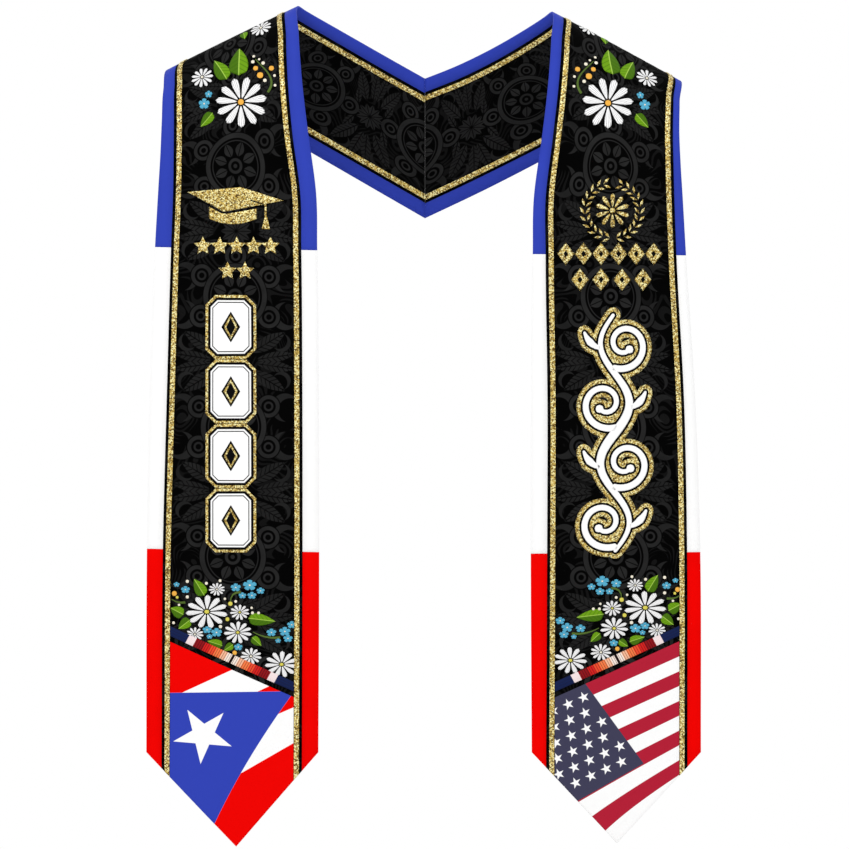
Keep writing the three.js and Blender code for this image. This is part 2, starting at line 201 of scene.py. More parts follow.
def follow(values, runs, run):
    """Cubic pieces through the section values, slopes weighted by nearness, and straight below the hem."""
    gaps = np.diff(runs)[:, None]
    between = np.diff(values, axis=0) / gaps
    inside = (between[:-1] * gaps[1:] + between[1:] * gaps[:-1]) / (gaps[:-1] + gaps[1:])
    slopes = np.concatenate([between[:1], inside, between[-1:]])
    run = np.asarray(run, float)
    i = np.clip(np.searchsorted(runs, run, side="left") - 1, 0, len(runs) - 2)
    length = (runs[i + 1] - runs[i])[..., None]
    t = (run[..., None] - runs[i][..., None]) / length
    curve = (mix(values[i], values[i + 1], t * t * (3 - 2 * t)) + slopes[i] * length * t * (1 - t) ** 2
             - slopes[i + 1] * length * t * t * (1 - t))
    below = values[0] + slopes[0] * run[..., None]
    return np.where(run[..., None] <= 0, below, curve)


def ruling(strip, run):
    """The way straight across the cloth at a run, from the inner edge to the outer."""
    return follow(strip["outer"] - strip["inner"], strip["runs"], run)


def ruled(strip, run, share):
    """The straight line between the two edges at a run, at a share of the way from the inner edge."""
    inner = follow(strip["inner"], strip["runs"], run)
    return inner + ruling(strip, run) * np.asarray(share)[..., None]


def unit(vectors):
    """Vectors of length one."""
    return vectors / np.linalg.norm(vectors, axis=-1, keepdims=True)


def run_direction(strip, run, share):
    """Direction along the cloth, from points a small step to either side."""
    return unit(ruled(strip, run + RUN_STEP, share) - ruled(strip, run - RUN_STEP, share))


def outward(strip, run, share):
    """Direction out of the outer face: the ruling crossed with the direction along the cloth."""
    return unit(np.cross(ruling(strip, run), run_direction(strip, run, share))) * strip["sign"]


def drape(strip, run, share):
    """Soft hang of the cloth: two long slow waves down the front, which die out over the shoulder."""
    run = np.asarray(run, float)
    fade = np.clip((strip["runs"][NAMES.index("clavicle")] - run) / DRAPE_FADE, 0, 1)
    slow = np.sin(run / SLOW_WAVE + 2.1 * share + 0.7 * strip["sign"])
    cross = np.sin(2 * np.pi * (0.8 * share + run / CROSS_WAVE) + strip["sign"])
    return fade * (SLOW_HEIGHT * slow + CROSS_HEIGHT * cross * np.sin(np.pi * np.clip(share, 0, 1)))


def cloth_point(strip, run, share, lift):
    """Ruled surface plus a crown of 4s(1-s), the drape and a lift, kept on its side of the back seam."""
    run, share, lift = np.broadcast_arrays(np.asarray(run, float), share, lift)
    crown = follow(strip["crown"], strip["runs"], run)[..., 0] * 4 * share * (1 - share)
    height = crown + lift + drape(strip, run, share)
    point = ruled(strip, run, share) + outward(strip, run, share) * height[..., None]
    point[..., 0] = strip["sign"] * np.maximum(strip["sign"] * point[..., 0], MEETING / 2)
    return point


def share_in(strip, run, edge, beyond):
    """Share of the way across at a distance of cloth past an edge's band, or at the edge itself.

    It is the band's width and the distance, over the width of the cloth measured square to the edge.
    """
    at_edge = np.full(np.shape(run), 0.0 if edge == "inner" else 1.0)
    if beyond is None:
        return at_edge
    distance = follow(strip["bands"][edge], strip["runs"], run)[..., 0] + beyond
    along = run_direction(strip, run, at_edge)
    share = distance / np.linalg.norm(np.cross(ruling(strip, run), along), axis=-1)
    return share if edge == "inner" else 1 - share


def hem_run(strip, share):
    """Run of the pointed hem: a straight line from each corner to the tip."""
    return -strip["point"] * np.minimum(share / strip["tip"], (1 - share) / (1 - strip["tip"]))


def share_at(strip, start, end, place):
    """A share of the way from one share to another. The middle of a piece that has the tip is the tip."""
    tip = strip["tip"]
    bent = np.where(place < 0.5, mix(start, tip, 2 * place), mix(tip, end, 2 * place - 1))
    return np.where((start < tip) & (end > tip), bent, mix(start, end, place))


def flag_run(share):
    """Run of the flag end's slanted top."""
    return mix(FLAG_HEIGHT_INNER, FLAG_HEIGHT_OUTER, share)


# Meshes

def new_object(name, data):
    """An object in the scene for a mesh, a light or a camera."""
    obj = bpy.data.objects.new(name, data)
    bpy.context.scene.collection.objects.link(obj)
    return obj


def mesh_object(name, points, blocks, materials, uv=None, slots=None):
    """A mesh in metres from points in millimetres and blocks of faces.

    There may be a UV for each point, and a material number for each face.
    """
    mesh = bpy.data.meshes.new(name)
    corners = np.concatenate([block.ravel() for block in blocks]).astype(np.int32)
    sizes = np.concatenate([np.full(len(block), block.shape[1]) for block in blocks])
    mesh.vertices.add(len(points))
    mesh.vertices.foreach_set("co", (np.asarray(points, float) * METRES).astype(np.float32).ravel())
    mesh.loops.add(len(corners))
    mesh.loops.foreach_set("vertex_index", corners)
    mesh.polygons.add(len(sizes))
    mesh.polygons.foreach_set("loop_start", np.concatenate([[0], np.cumsum(sizes)[:-1]]).astype(np.int32))
    for material in materials:
        mesh.materials.append(material)
    if slots is not None:
        mesh.polygons.foreach_set("material_index", np.asarray(slots, np.int32))
    if uv is not None:
        layer = mesh.uv_layers.new(name="print")
        layer.data.foreach_set("uv", np.asarray(uv, np.float32)[corners].ravel())
    mesh.update(calc_edges=True)
    mesh.validate()
    mesh.polygons.foreach_set("use_smooth", np.ones(len(mesh.polygons), bool))
    return new_object(name, mesh)


def quads(grid):
    """Quads between the neighbours in a grid of point numbers."""
    return np.stack([grid[:-1, :-1], grid[:-1, 1:], grid[1:, 1:], grid[1:, :-1]], axis=-1).reshape(-1, 4)


def shell_faces(rows, columns, flip):
    """Quads of a closed shell: a top grid, and a bottom grid that shares the top's border points.

    The bottom's inner points follow the top's in the list. Returns the quads, and whether each is on top.
    """
    top = np.arange(rows * columns).reshape(rows, columns)
    bottom = top.copy()
    bottom[1:-1, 1:-1] = rows * columns + np.arange((rows - 2) * (columns - 2)).reshape(rows - 2, columns - 2)
    upper, lower = quads(top), quads(bottom)[:, ::-1]
    faces = np.concatenate([upper, lower])
    if flip:
        faces = faces[:, ::-1]
    return faces, np.arange(len(faces)) < len(upper)


def rounded(count, radius, length, last_radius=None):
    """Places from 0 to length: close together in the round edge at both ends, even in between."""
    last_radius = last_radius or radius
    bend = (1 - np.cos(np.linspace(0, np.pi / 2, ROUND_STEPS + 1)))[:-1]
    middle = np.linspace(radius, length - last_radius, max(count, 2))
    return np.concatenate([radius * bend, middle, (length - last_radius * bend)[::-1]])


def edge_thickness(distance, radius):
    """Share of the full half thickness near a rounded edge: a quarter circle over the radius."""
    reach = np.clip(distance / radius, 0, 1)
    return np.sqrt(np.clip(1 - (1 - reach) ** 2, 0, 1))


def cloth_shell(strip, name, sides, runs_from, runs_to, low, high, materials, uv_of=None, slot_of=None):
    """A closed strip of cloth with rounded edges, between two distances from the edges and two runs.

    Across, the share goes from one side's distance to the other's. Along, the run goes from one end to
    the other, and both ends may depend on the share. Its two faces are at the lifts low and high, and come
    together in a quarter circle at each edge. An end at the back seam is cut square, in the seam's plane.
    """
    radius = EDGE_RADIUS
    first, last = (float(share_in(strip, np.array(TYPICAL_RUN), *side)) for side in sides)
    bottom, top = float(runs_from((first + last) / 2)), float(runs_to((first + last) / 2))
    at_seam = top == strip["runs"][-1]
    last_radius = SEAM_RADIUS if at_seam else radius
    width = END_WIDTH * abs(last - first)
    across = rounded(max(int(width / GRID_SPACING), 3), radius, width)
    along = rounded(max(int((top - bottom) / GRID_SPACING), 3), radius, top - bottom, last_radius)
    u, v = np.meshgrid(across / width, along / (top - bottom))
    run = mix(bottom, top, v)
    for _ in range(4):
        share = share_at(strip, *(share_in(strip, np.maximum(run, 0), *side) for side in sides), u)
        run = mix(runs_from(share), runs_to(share), v)
    sideways = edge_thickness(np.minimum(across, width - across), radius)
    lengthways = np.minimum(edge_thickness(along, radius), edge_thickness(along[-1] - along, last_radius))
    swell = (high - low) / 2 * np.minimum(sideways[None, :], lengthways[:, None])
    centre = (low + high) / 2
    upper = cloth_point(strip, run, share, centre + swell)
    lower = cloth_point(strip, run, share, centre - swell)
    if at_seam:
        square_rows = ROUND_STEPS + 1
        upper[-square_rows:, :, 0] = lower[-square_rows:, :, 0] = strip["sign"] * MEETING / 2
    lower = lower[1:-1, 1:-1]
    points = np.concatenate([upper.reshape(-1, 3), lower.reshape(-1, 3)])
    faces, on_top = shell_faces(*u.shape, flip=strip["sign"] < 0)
    uv = None
    if uv_of is not None:
        both = uv_of(strip, run, share)
        uv = np.concatenate([both.reshape(-1, 2), both[1:-1, 1:-1].reshape(-1, 2)])
    cells = (run[:-1, :-1] + run[1:, 1:]).ravel() / 2
    slots = None if slot_of is None else slot_of(on_top, np.concatenate([cells, cells]))
    return mesh_object(name, points, [faces], materials, uv, slots)


# Shapes laid on the cloth

MM_PER_PIXEL = 0.89
ORIGIN_PX = (425.0, 76.0)


def from_photo(pixel):
    """Millimetres across and up from the top of the back seam, for a pixel of the photo."""
    pixel = np.asarray(pixel, float)
    return np.stack([pixel[..., 0] - ORIGIN_PX[0], ORIGIN_PX[1] - pixel[..., 1]], axis=-1) * MM_PER_PIXEL


class Spot:
    """A place on the outer face, with the level and upward directions that the cloth has there.

    The place is where the front view shows the pixel. It is neared in ten steps, each worked out from the
    slopes of the cloth at the last one. Steps across and up become steps of run and share through the
    slopes at the place, so that a shape lies on the cloth at its true size.
    """

    def __init__(self, strip, pixel):
        self.strip = strip
        place = from_photo(pixel)
        run = place[1] + HEM_DROP
        share = (abs(place[0]) - HEM_HALF_GAP) / END_WIDTH
        for _ in range(10):
            point, slopes = self.slopes(run, share)
            step = np.linalg.solve(slopes[[0, 2]], place - point[[0, 2]])
            run = min(run + np.clip(step[0], -15, 15), strip["runs"][CREST] - 1)
            share = share + np.clip(step[1], -0.2, 0.2)
        self.run, self.share = run, share
        slopes = self.slopes(run, share)[1]
        square = np.cross(slopes[:, 0], slopes[:, 1])
        level = unit(np.cross(square, (0, 0, 1)))
        level = level * np.sign(level[0])
        upward = unit(np.cross(level, square))
        upward = upward * np.sign(upward @ slopes[:, 0])
        self.steps = np.linalg.pinv(slopes) @ np.stack([level, upward], axis=1)

    def slopes(self, run, share):
        """The point of the cloth, and how it moves with the run and with the share."""
        runs = np.array([run, run + RUN_STEP, run])
        shares = np.array([share, share, share + SHARE_STEP])
        points = cloth_point(self.strip, runs, shares, FACE)
        return points[0], ((points[1:] - points[0]) / [[RUN_STEP], [SHARE_STEP]]).T

    def points(self, across, up, lift):
        """Points at steps across and up from the place, at a lift from the middle of the cloth."""
        run = self.run + self.steps[0, 0] * across + self.steps[0, 1] * up
        share = self.share + self.steps[1, 0] * across + self.steps[1, 1] * up
        return cloth_point(self.strip, run, share, lift)


class Gathering:
    """Small closed shapes gathered into one mesh, each with the number of its material."""

    def __init__(self):
        self.points, self.uv, self.faces, self.slots, self.count = [], [], {}, {}, 0

    def add(self, points, uv, blocks, slot):
        """Add a shape: its points, a UV for each, and blocks of faces that count from its first point."""
        for block in blocks:
            corners = block.shape[1]
            self.faces.setdefault(corners, []).append(block + self.count)
            self.slots.setdefault(corners, []).append(np.full(len(block), slot))
        self.points.append(points)
        self.uv.append(uv)
        self.count += len(points)

    def build(self, name, materials):
        """The object that holds every shape: triangles first, then quads."""
        order = sorted(self.faces)
        blocks = [np.concatenate(self.faces[corners]) for corners in order]
        slots = np.concatenate([np.concatenate(self.slots[corners]) for corners in order])
        points, uv = np.concatenate(self.points), np.concatenate(self.uv)
        return mesh_object(name, points, blocks, materials, uv, slots)


def pillows(gathering, spot, across, up, lift, height, slot, uv=(0.0, 0.0)):
    """Closed pillows on one grid or several: the border is on the cloth, and the rest a height above it."""
    across, up = (values.reshape(-1, *values.shape[-2:]) for values in (across, up))
    count, rows, columns = across.shape
    inner = np.zeros((rows, columns))
    inner[1:-1, 1:-1] = 1
    top = spot.points(across, up, FACE + lift + height * inner).reshape(count, -1, 3)
    bottom = spot.points(across, up, FACE + lift)[:, 1:-1, 1:-1].reshape(count, -1, 3)
    points = np.concatenate([top, bottom], axis=1)
    faces, _ = shell_faces(rows, columns, flip=False)
    faces = faces[None] + (np.arange(count) * points.shape[1])[:, None, None]
    uv = np.broadcast_to(uv, (count, rows, columns, 2))
    uv = np.concatenate([uv.reshape(count, -1, 2), uv[:, 1:-1, 1:-1].reshape(count, -1, 2)], axis=1)
    gathering.add(points.reshape(-1, 3), uv.reshape(-1, 2), [faces.reshape(-1, 4)], slot)


def star(gathering, spot, radius, hollow, lift, height, slot, tips=5):
    """A closed star with one tip up: corners in turn at the radius and at the hollow's share of it.

    The top's rim is drawn in to nine tenths, so that the sides slope.
    """
    rim = np.arange(2 * tips)
    after = (rim + 1) % len(rim)
    reach = radius * np.where(rim % 2 == 0, 1, hollow)
    angle = np.pi / 2 + np.pi * rim / tips
    across, up, zero = reach * np.cos(angle), reach * np.sin(angle), np.zeros(1)
    points = np.concatenate([spot.points(zero, zero, FACE + lift + height),
                             spot.points(across * 0.9, up * 0.9, FACE + lift + height),
                             spot.points(across, up, FACE + lift),
                             spot.points(zero, zero, FACE + lift)])
    top_rim, foot_rim, foot = 1, 1 + len(rim), 1 + 2 * len(rim)
    top = np.stack([0 * rim, top_rim + rim, top_rim + after], axis=-1)
    side = np.stack([top_rim + rim, foot_rim + rim, foot_rim + after, top_rim + after], axis=-1)
    bottom = np.stack([0 * rim + foot, foot_rim + after, foot_rim + rim], axis=-1)
    gathering.add(points, np.zeros((len(points), 2)), [top, bottom, side], slot)


def bevelled(count, bevel=0.16):
    """Places from -1 to 1: even inside, with a narrow step at each end where the shape slopes down."""
    return np.concatenate([[-1.0], np.linspace(bevel - 1, 1 - bevel, count), [1.0]])


def square_grid(rows, columns, bevel=0.16):
    """Across and up over the square from -1 to 1."""
    return np.meshgrid(bevelled(columns, bevel), bevelled(rows, bevel))


def round_grid(rows, columns):
    """The square's grid drawn in to the disc: a = u sqrt(1 - v v / 2), b = v sqrt(1 - u u / 2)."""
    u, v = square_grid(rows, columns)
    return u * np.sqrt(1 - v * v / 2), v * np.sqrt(1 - u * u / 2)


def disc(gathering, spot, radius, lift, height, slot, across=0.0, up=0.0, flat=1.0):
    """A round pillow at a step from the spot, of a radius across and its flat share up."""
    a, b = round_grid(3, 3)
    pillows(gathering, spot, across + radius * a, up + flat * radius * b, lift, height, slot)


def petals(gathering, spot, count, start, end, half_width, lift, height, slot, taper=0.4, turn=0.0, flat=1.0):
    """Petals about the spot from one radius to another, turned by equal angles.

    Each is the disc's grid drawn out, with a half width that goes as 1 - taper + taper times the place
    along it, so that the petal is round ended and wider outward.
    """
    side, along = round_grid(4, 3)
    outward_by = mix(start, end, (along + 1) / 2)
    aside = half_width * side * (1 - taper + taper * along)
    angle = (turn + 2 * np.pi * np.arange(count) / count)[:, None, None]
    across = outward_by * np.sin(angle) + aside * np.cos(angle)
    up = flat * (outward_by * np.cos(angle) - aside * np.sin(angle))
    uv = np.stack([side, outward_by / end], axis=-1)
    pillows(gathering, spot, across, up, lift, height, slot, uv)


LEAF_FULLNESS = 0.92


def leaf(gathering, strip, base, tip, half_width, lift, slot):
    """A leaf from a rounded base to a pointed tip: its half width goes as (1 - a) sqrt(1 + a).

    The lighter half is to the right on the left end, and mirrored with the print on the right end.
    """
    start, end = from_photo(base), from_photo(tip)
    spot = Spot(strip, (np.asarray(base) + np.asarray(tip)) / 2)
    half_length = np.linalg.norm(end - start) / 2
    along_x, along_z = (end - start) / (2 * half_length)
    side, along = round_grid(6, 3)
    aside = half_width * side * np.sqrt(np.clip(1 - along, 0, 2)) * LEAF_FULLNESS
    across = along * half_length * along_x + aside * along_z
    up = along * half_length * along_z - aside * along_x
    lit = -strip["sign"] * (1 if along_z > 0 else -1)
    uv = np.stack([lit * aside / half_width, along], axis=-1)
    pillows(gathering, spot, across, up, lift, RELIEF, slot, uv)


def curve_through(points, samples=80):
    """The polynomial through a few points, evenly spaced in its variable."""
    points = np.asarray(points, float)
    at = np.linspace(0, 1, len(points))
    t = np.linspace(0, 1, samples)
    return np.stack([np.polyval(np.polyfit(at, points[:, k], len(points) - 1), t) for k in (0, 1)], axis=-1)


def stroke(gathering, spot, path, half_widths, lift, height, slot, step=3.0):
    """A band along a path in millimetres about the spot, of a half width that may change along it.

    The half width is set off square to the path, and falls off as a quarter circle at both ends.
    """
    lengths = np.concatenate([[0], np.cumsum(np.linalg.norm(np.diff(path, axis=0), axis=1))])
    half_widths = np.broadcast_to(half_widths, len(path))
    cap = min(float(half_widths.min()), lengths[-1] / 3)
    at = rounded(max(int(lengths[-1] / step), 3), cap, lengths[-1])
    x, z, half = (np.interp(at, lengths, values) for values in (path[:, 0], path[:, 1], half_widths))
    half = half * np.maximum(edge_thickness(np.minimum(at, lengths[-1] - at), cap), 0.25)
    along = unit(np.stack([np.gradient(x, at), np.gradient(z, at)], axis=-1))
    aside = half[:, None] * bevelled(2, 0.22)[None, :]
    across = x[:, None] + aside * along[:, 1:]
    up = z[:, None] - aside * along[:, :1]
    pillows(gathering, spot, across, up, lift, height, slot)


def lengthened(path, by):
    """The path with a straight piece of a length added at both ends."""
    before = path[0] - unit(path[1] - path[0]) * by
    after = path[-1] + unit(path[-1] - path[-2]) * by
    return np.concatenate([[before], path, [after]])


# Shader arithmetic

class Field:
    """A number on the surface, worked out by Math nodes, so that a pattern reads as arithmetic."""

    def __init__(self, tree, socket):
        self.tree = tree
        self.socket = socket

    def math(self, operation, *others):
        """The outcome of a Math node on this and other numbers."""
        node = self.tree.nodes.new("ShaderNodeMath")
        node.operation = operation
        for socket, value in zip(node.inputs, (self, *others)):
            if isinstance(value, Field):
                self.tree.links.new(value.socket, socket)
            else:
                socket.default_value = value
        return Field(self.tree, node.outputs[0])

    def __add__(self, other):
        return self.math("ADD", other)

    def __sub__(self, other):
        return self.math("SUBTRACT", other)

    def __mul__(self, other):
        return self.math("MULTIPLY", other)

    def __truediv__(self, other):
        return self.math("DIVIDE", other)

    def sine(self):
        """The sine of an angle in radians."""
        return self.math("SINE")

    def size(self):
        """The number without its sign."""
        return self.math("ABSOLUTE")

    def fraction(self):
        """What is past the whole number below."""
        return self.math("FRACT")

    def from_whole(self):
        """The step from the nearest whole number."""
        return self - self.math("ROUND")

    def inverse(self):
        """1 where this is 0, and 0 where it is 1."""
        return self * -1.0 + 1.0

    def step(self, low, high):
        """0 below low and 1 above high, smooth in between."""
        node = self.tree.nodes.new("ShaderNodeMapRange")
        node.interpolation_type = "SMOOTHSTEP"
        self.tree.links.new(self.socket, node.inputs["Value"])
        node.inputs["From Min"].default_value = low
        node.inputs["From Max"].default_value = high
        return Field(self.tree, node.outputs["Result"])


class Finish:
    """A material under construction: its nodes, its shader and the ways into it."""

    def __init__(self, name, roughness=0.5, metallic=0.0, specular=0.5):
        self.material = bpy.data.materials.new(name)
        self.material.use_nodes = True
        self.tree = self.material.node_tree
        self.shader = self.tree.nodes["Principled BSDF"]
        self.shader.inputs["Roughness"].default_value = roughness
        self.shader.inputs["Metallic"].default_value = metallic
        self.shader.inputs["Specular IOR Level"].default_value = specular

    def node(self, kind, **inputs):
        """A new node, with inputs that are fields, sockets or plain values."""
        node = self.tree.nodes.new(kind)
        for name, value in inputs.items():
            socket = node.inputs[name.replace("_", " ")]
            if isinstance(value, Field):
                value = value.socket
            if isinstance(value, bpy.types.NodeSocket):
                self.tree.links.new(value, socket)
            else:
                socket.default_value = value
        return node

    def place(self):
        """Object coordinates, in metres."""
        return self.tree.nodes.new("ShaderNodeTexCoord").outputs["Object"]

    def parts(self, socket, *names, kind="XYZ"):
        """Fields for the named parts of a vector or a colour."""
        split = self.tree.nodes.new(f"ShaderNodeSeparate{kind}")
        self.tree.links.new(socket, split.inputs[0])
        return [Field(self.tree, split.outputs[name]) for name in names]

    def print_xy(self):
        """The piece's own print coordinates, in millimetres."""
        layer = self.tree.nodes.new("ShaderNodeUVMap")
        layer.uv_map = "print"
        return self.parts(layer.outputs["UV"], "X", "Y")

    def noise(self, scale, detail=2.0, vector=None):
        """Noise from 0 to 1, in object coordinates unless a vector is given."""
        node = self.node("ShaderNodeTexNoise", Vector=vector or self.place(), Scale=scale, Detail=detail)
        return Field(self.tree, node.outputs["Fac"])

    def blend(self, share, first, second):
        """A colour between two colours, each a web form, a web form with its shade, or a colour socket."""
        node = self.tree.nodes.new("ShaderNodeMix")
        node.data_type = "RGBA"
        self.tree.links.new(share.socket, node.inputs["Factor"])
        for socket, value in ((node.inputs["A"], first), (node.inputs["B"], second)):
            if isinstance(value, bpy.types.NodeSocket):
                self.tree.links.new(value, socket)
            else:
                socket.default_value = rgb(*value) if isinstance(value, tuple) else rgb(value)
        return node.outputs["Result"]

    def colour(self, socket):
        """Give the shader its colour."""
        self.tree.links.new(socket, self.shader.inputs["Base Color"])

    def bump(self, field, distance, strength):
        """Give the shader a relief from a height field."""
        node = self.node("ShaderNodeBump", Height=field, Distance=distance, Strength=strength)
        self.tree.links.new(node.outputs["Normal"], self.shader.inputs["Normal"])

    def weave(self, pitch=0.55):
        """Height of a fine satin weave: threads along one slant crossed by threads along the other."""
        x, z = self.parts(self.place(), "X", "Z")
        turn = 2 * np.pi / (pitch * METRES)
        warp = ((x * 0.92 + z * 0.39) * turn).sine()
        weft = ((z * 0.92 - x * 0.39) * (turn * 0.62)).sine()
        return warp * 0.6 + weft * 0.4

    def cloth(self, colour, roughness=0.5):
        """The finished material of printed satin: its colour, uneven gloss and a fine weave."""
        self.colour(colour)
        gloss = self.noise(210, 2) * 0.16 + (roughness - 0.08)
        self.tree.links.new(gloss.socket, self.shader.inputs["Roughness"])
        self.bump(self.weave() * 0.5 + self.noise(900, 2) * 0.5, 0.00012, 0.35)
        return self.material


def rgb(text, shade=1.0):
    """A linear colour from its web form, made lighter or darker by a factor."""
    values = np.array([int(text[i:i + 2], 16) for i in (1, 3, 5)]) / 255
    linear = np.where(values <= 0.04045, values / 12.92, ((values + 0.055) / 1.055) ** 2.4)
    return (*np.clip(linear * shade, 0, 1), 1.0)


def satin(name, text, roughness=0.5, specular=0.06, variation=0.08):
    """Printed satin: one colour, clouded a little by noise, which on satin cloth is a painted sheen of its
    folds and on printed figures an uneven tone.
    """
    finish = Finish(name, specular=specular)
    # Noise clouding: a painted sheen on satin cloth, an uneven tone on printed figures
    sheen_and_tone = finish.blend(finish.noise(34, 3), (text, 1 - variation), (text, 1 + variation))
    return finish.cloth(sheen_and_tone, roughness)


def glitter(name, base, light, dark, grain=1050):
    """Glitter: a flake in each cell, with its own tilt, on a darker ground; a random tone per cell gives the
    light flakes a painted glint and the dark ones a painted shade.
    """
    finish = Finish(name, roughness=0.3, metallic=0.65)
    flakes = finish.node("ShaderNodeTexVoronoi", Vector=finish.place(), Scale=grain)
    tone, tilt = finish.parts(flakes.outputs["Color"], "Red", "Green", kind="Color")
    # Painted light on the flakes: the dark colour is a painted shade, the light colour a painted glint
    low = finish.blend(tone.step(0.1, 0.55), dark, base)
    finish.colour(finish.blend(tone.step(0.55, 0.9), low, light))
    finish.bump(tilt * 0.7 - Field(finish.tree, flakes.outputs["Distance"]) * 0.5, 0.0005, 0.8)
    return finish.material


# Printed patterns

def distance_from(x, y):
    """Length of the step (x, y)."""
    return (x * x + y * y).math("SQRT")


def line_at(field, place, width, soft=0.35):
    """1 on a line of a width where the field has the value of the place."""
    return (field - place).size().step(width / 2 - soft, width / 2 + soft).inverse()


def folded_turn(x, y, count, turn=0.0):
    """Angle about the middle, folded onto one of a count of equal arms, from minus half an arm to half."""
    arm = 2 * np.pi / count
    angle = y.math("ARCTAN2", x) - turn
    return (angle / arm).from_whole() * arm


def greatest(fields):
    """The greatest of some fields."""
    return reduce(lambda one, other: one.math("MAXIMUM", other), fields)


def star_shape(x, y, radius, turn, hollow=0.382, soft=0.12):
    """1 inside a five-pointed star: the side of an arm's straight edge, with the arms folded onto one."""
    arm = folded_turn(x, y, 5, turn).size()
    reach = distance_from(x, y)
    waist_x, waist_y = radius * hollow * np.cos(np.pi / 5), radius * hollow * np.sin(np.pi / 5)
    edge = np.hypot(waist_y, radius - waist_x)
    forward, aside = reach * arm.math("COSINE") - radius, reach * arm.sine()
    beyond = forward * (waist_y / edge) + aside * ((radius - waist_x) / edge)
    return beyond.step(-soft, soft).inverse()


def left_of(x, y, first, second, soft=0.12):
    """1 on the left of the way from one pixel of the photo to another."""
    start, way = from_photo(first), unit(from_photo(second) - from_photo(first))
    return ((y - start[1]) * way[0] - (x - start[0]) * way[1]).step(-soft, soft)


# The tone-on-tone ornament: a rosette of looped rings in each period, with fans, sprays and strokes between
ORNAMENT_PERIOD = 116.0
ORNAMENT_START = 58.0
ROSETTE_RADIUS = 27.0
PETAL_START, PETAL_LENGTH, PETAL_HALF_WIDTH = 8.5, 13.5, 4.4
LOOP_PLACE = 36.0
LOOP_RADIUS = 8.2
FAN_RADIUS = 15.0
FAN_HALF_WIDTH = 3.0
FLOW_PITCH = 7.2
FLOW_SHARE = 0.32
SEAM_LINE = 1.1
SPRAY_COLUMNS = ("base", "tip", "half_width")
SPRAYS = (((14.0, 7.0), (47.0, 27.0), 6.4), ((18.0, 1.5), (56.0, 7.0), 5.0), ((6.0, 14.0), (27.0, 21.0), 3.6))
CRESCENT_COLUMNS = ("outer_middle", "outer_radius", "inner_middle", "inner_radius")
CRESCENTS = (((46.0, 41.0), 12.5, (50.5, 43.5), 10.5), ((43.0, 17.0), 8.0, (40.5, 19.0), 7.2))


def leaf_figure(x, y, base, tip, half_width):
    """1 in a leaf whose half width goes as the sine along it, except on its midrib and slanted veins."""
    way = np.subtract(tip, base)
    length = float(np.hypot(*way))
    way = way / length
    along = ((x - base[0]) * way[0] + (y - base[1]) * way[1]) / length
    aside = ((x - base[0]) * way[1] - (y - base[1]) * way[0]).size()
    reach = (along.math("MAXIMUM", 0.0).math("MINIMUM", 1.0) * np.pi).sine() * half_width
    inside = (aside - reach + 0.3).step(-0.25, 0.25).inverse()
    veins = line_at((along * (length / 4.6) - aside * 0.2).fraction(), 0.5, 0.2, 0.08)
    return inside * greatest([veins, line_at(aside, 0.0, 0.9, 0.25)]).inverse()


def crescent(x, y, outer_middle, outer_radius, inner_middle, inner_radius):
    """1 in a disc and outside another."""
    outer = distance_from(x - outer_middle[0], y - outer_middle[1])
    inner = distance_from(x - inner_middle[0], y - inner_middle[1])
    inside = outer.step(outer_radius - 0.3, outer_radius + 0.3).inverse()
    return inside * inner.step(inner_radius, inner_radius + 0.6)


def blades(wave, reach, half_width, midrib):
    """1 in blades that point outward, with a half width that changes outward, except on their midribs."""
    aside = wave * reach
    return ((aside.size() - half_width).step(-0.25, 0.25).inverse()
            * line_at(aside, 0.0, midrib, 0.25).inverse())


def flow_lines(finish, u, v):
    """Tapering strokes that follow a slow swirl: a sine of a bent slant, cut at an uneven level."""
    layer = finish.node("ShaderNodeCombineXYZ", X=u, Y=v).outputs["Vector"]
    bend = finish.noise(0.021, 1, vector=layer)
    level = finish.noise(0.047, 0, vector=layer)
    slant = (u - END_WIDTH / 2).size() * 0.5 + v * 0.32 + bend * 150.0
    return ((slant * (2 * np.pi / FLOW_PITCH)).sine() - (level * -5.0 + 2.9)).step(0.0, 0.35)


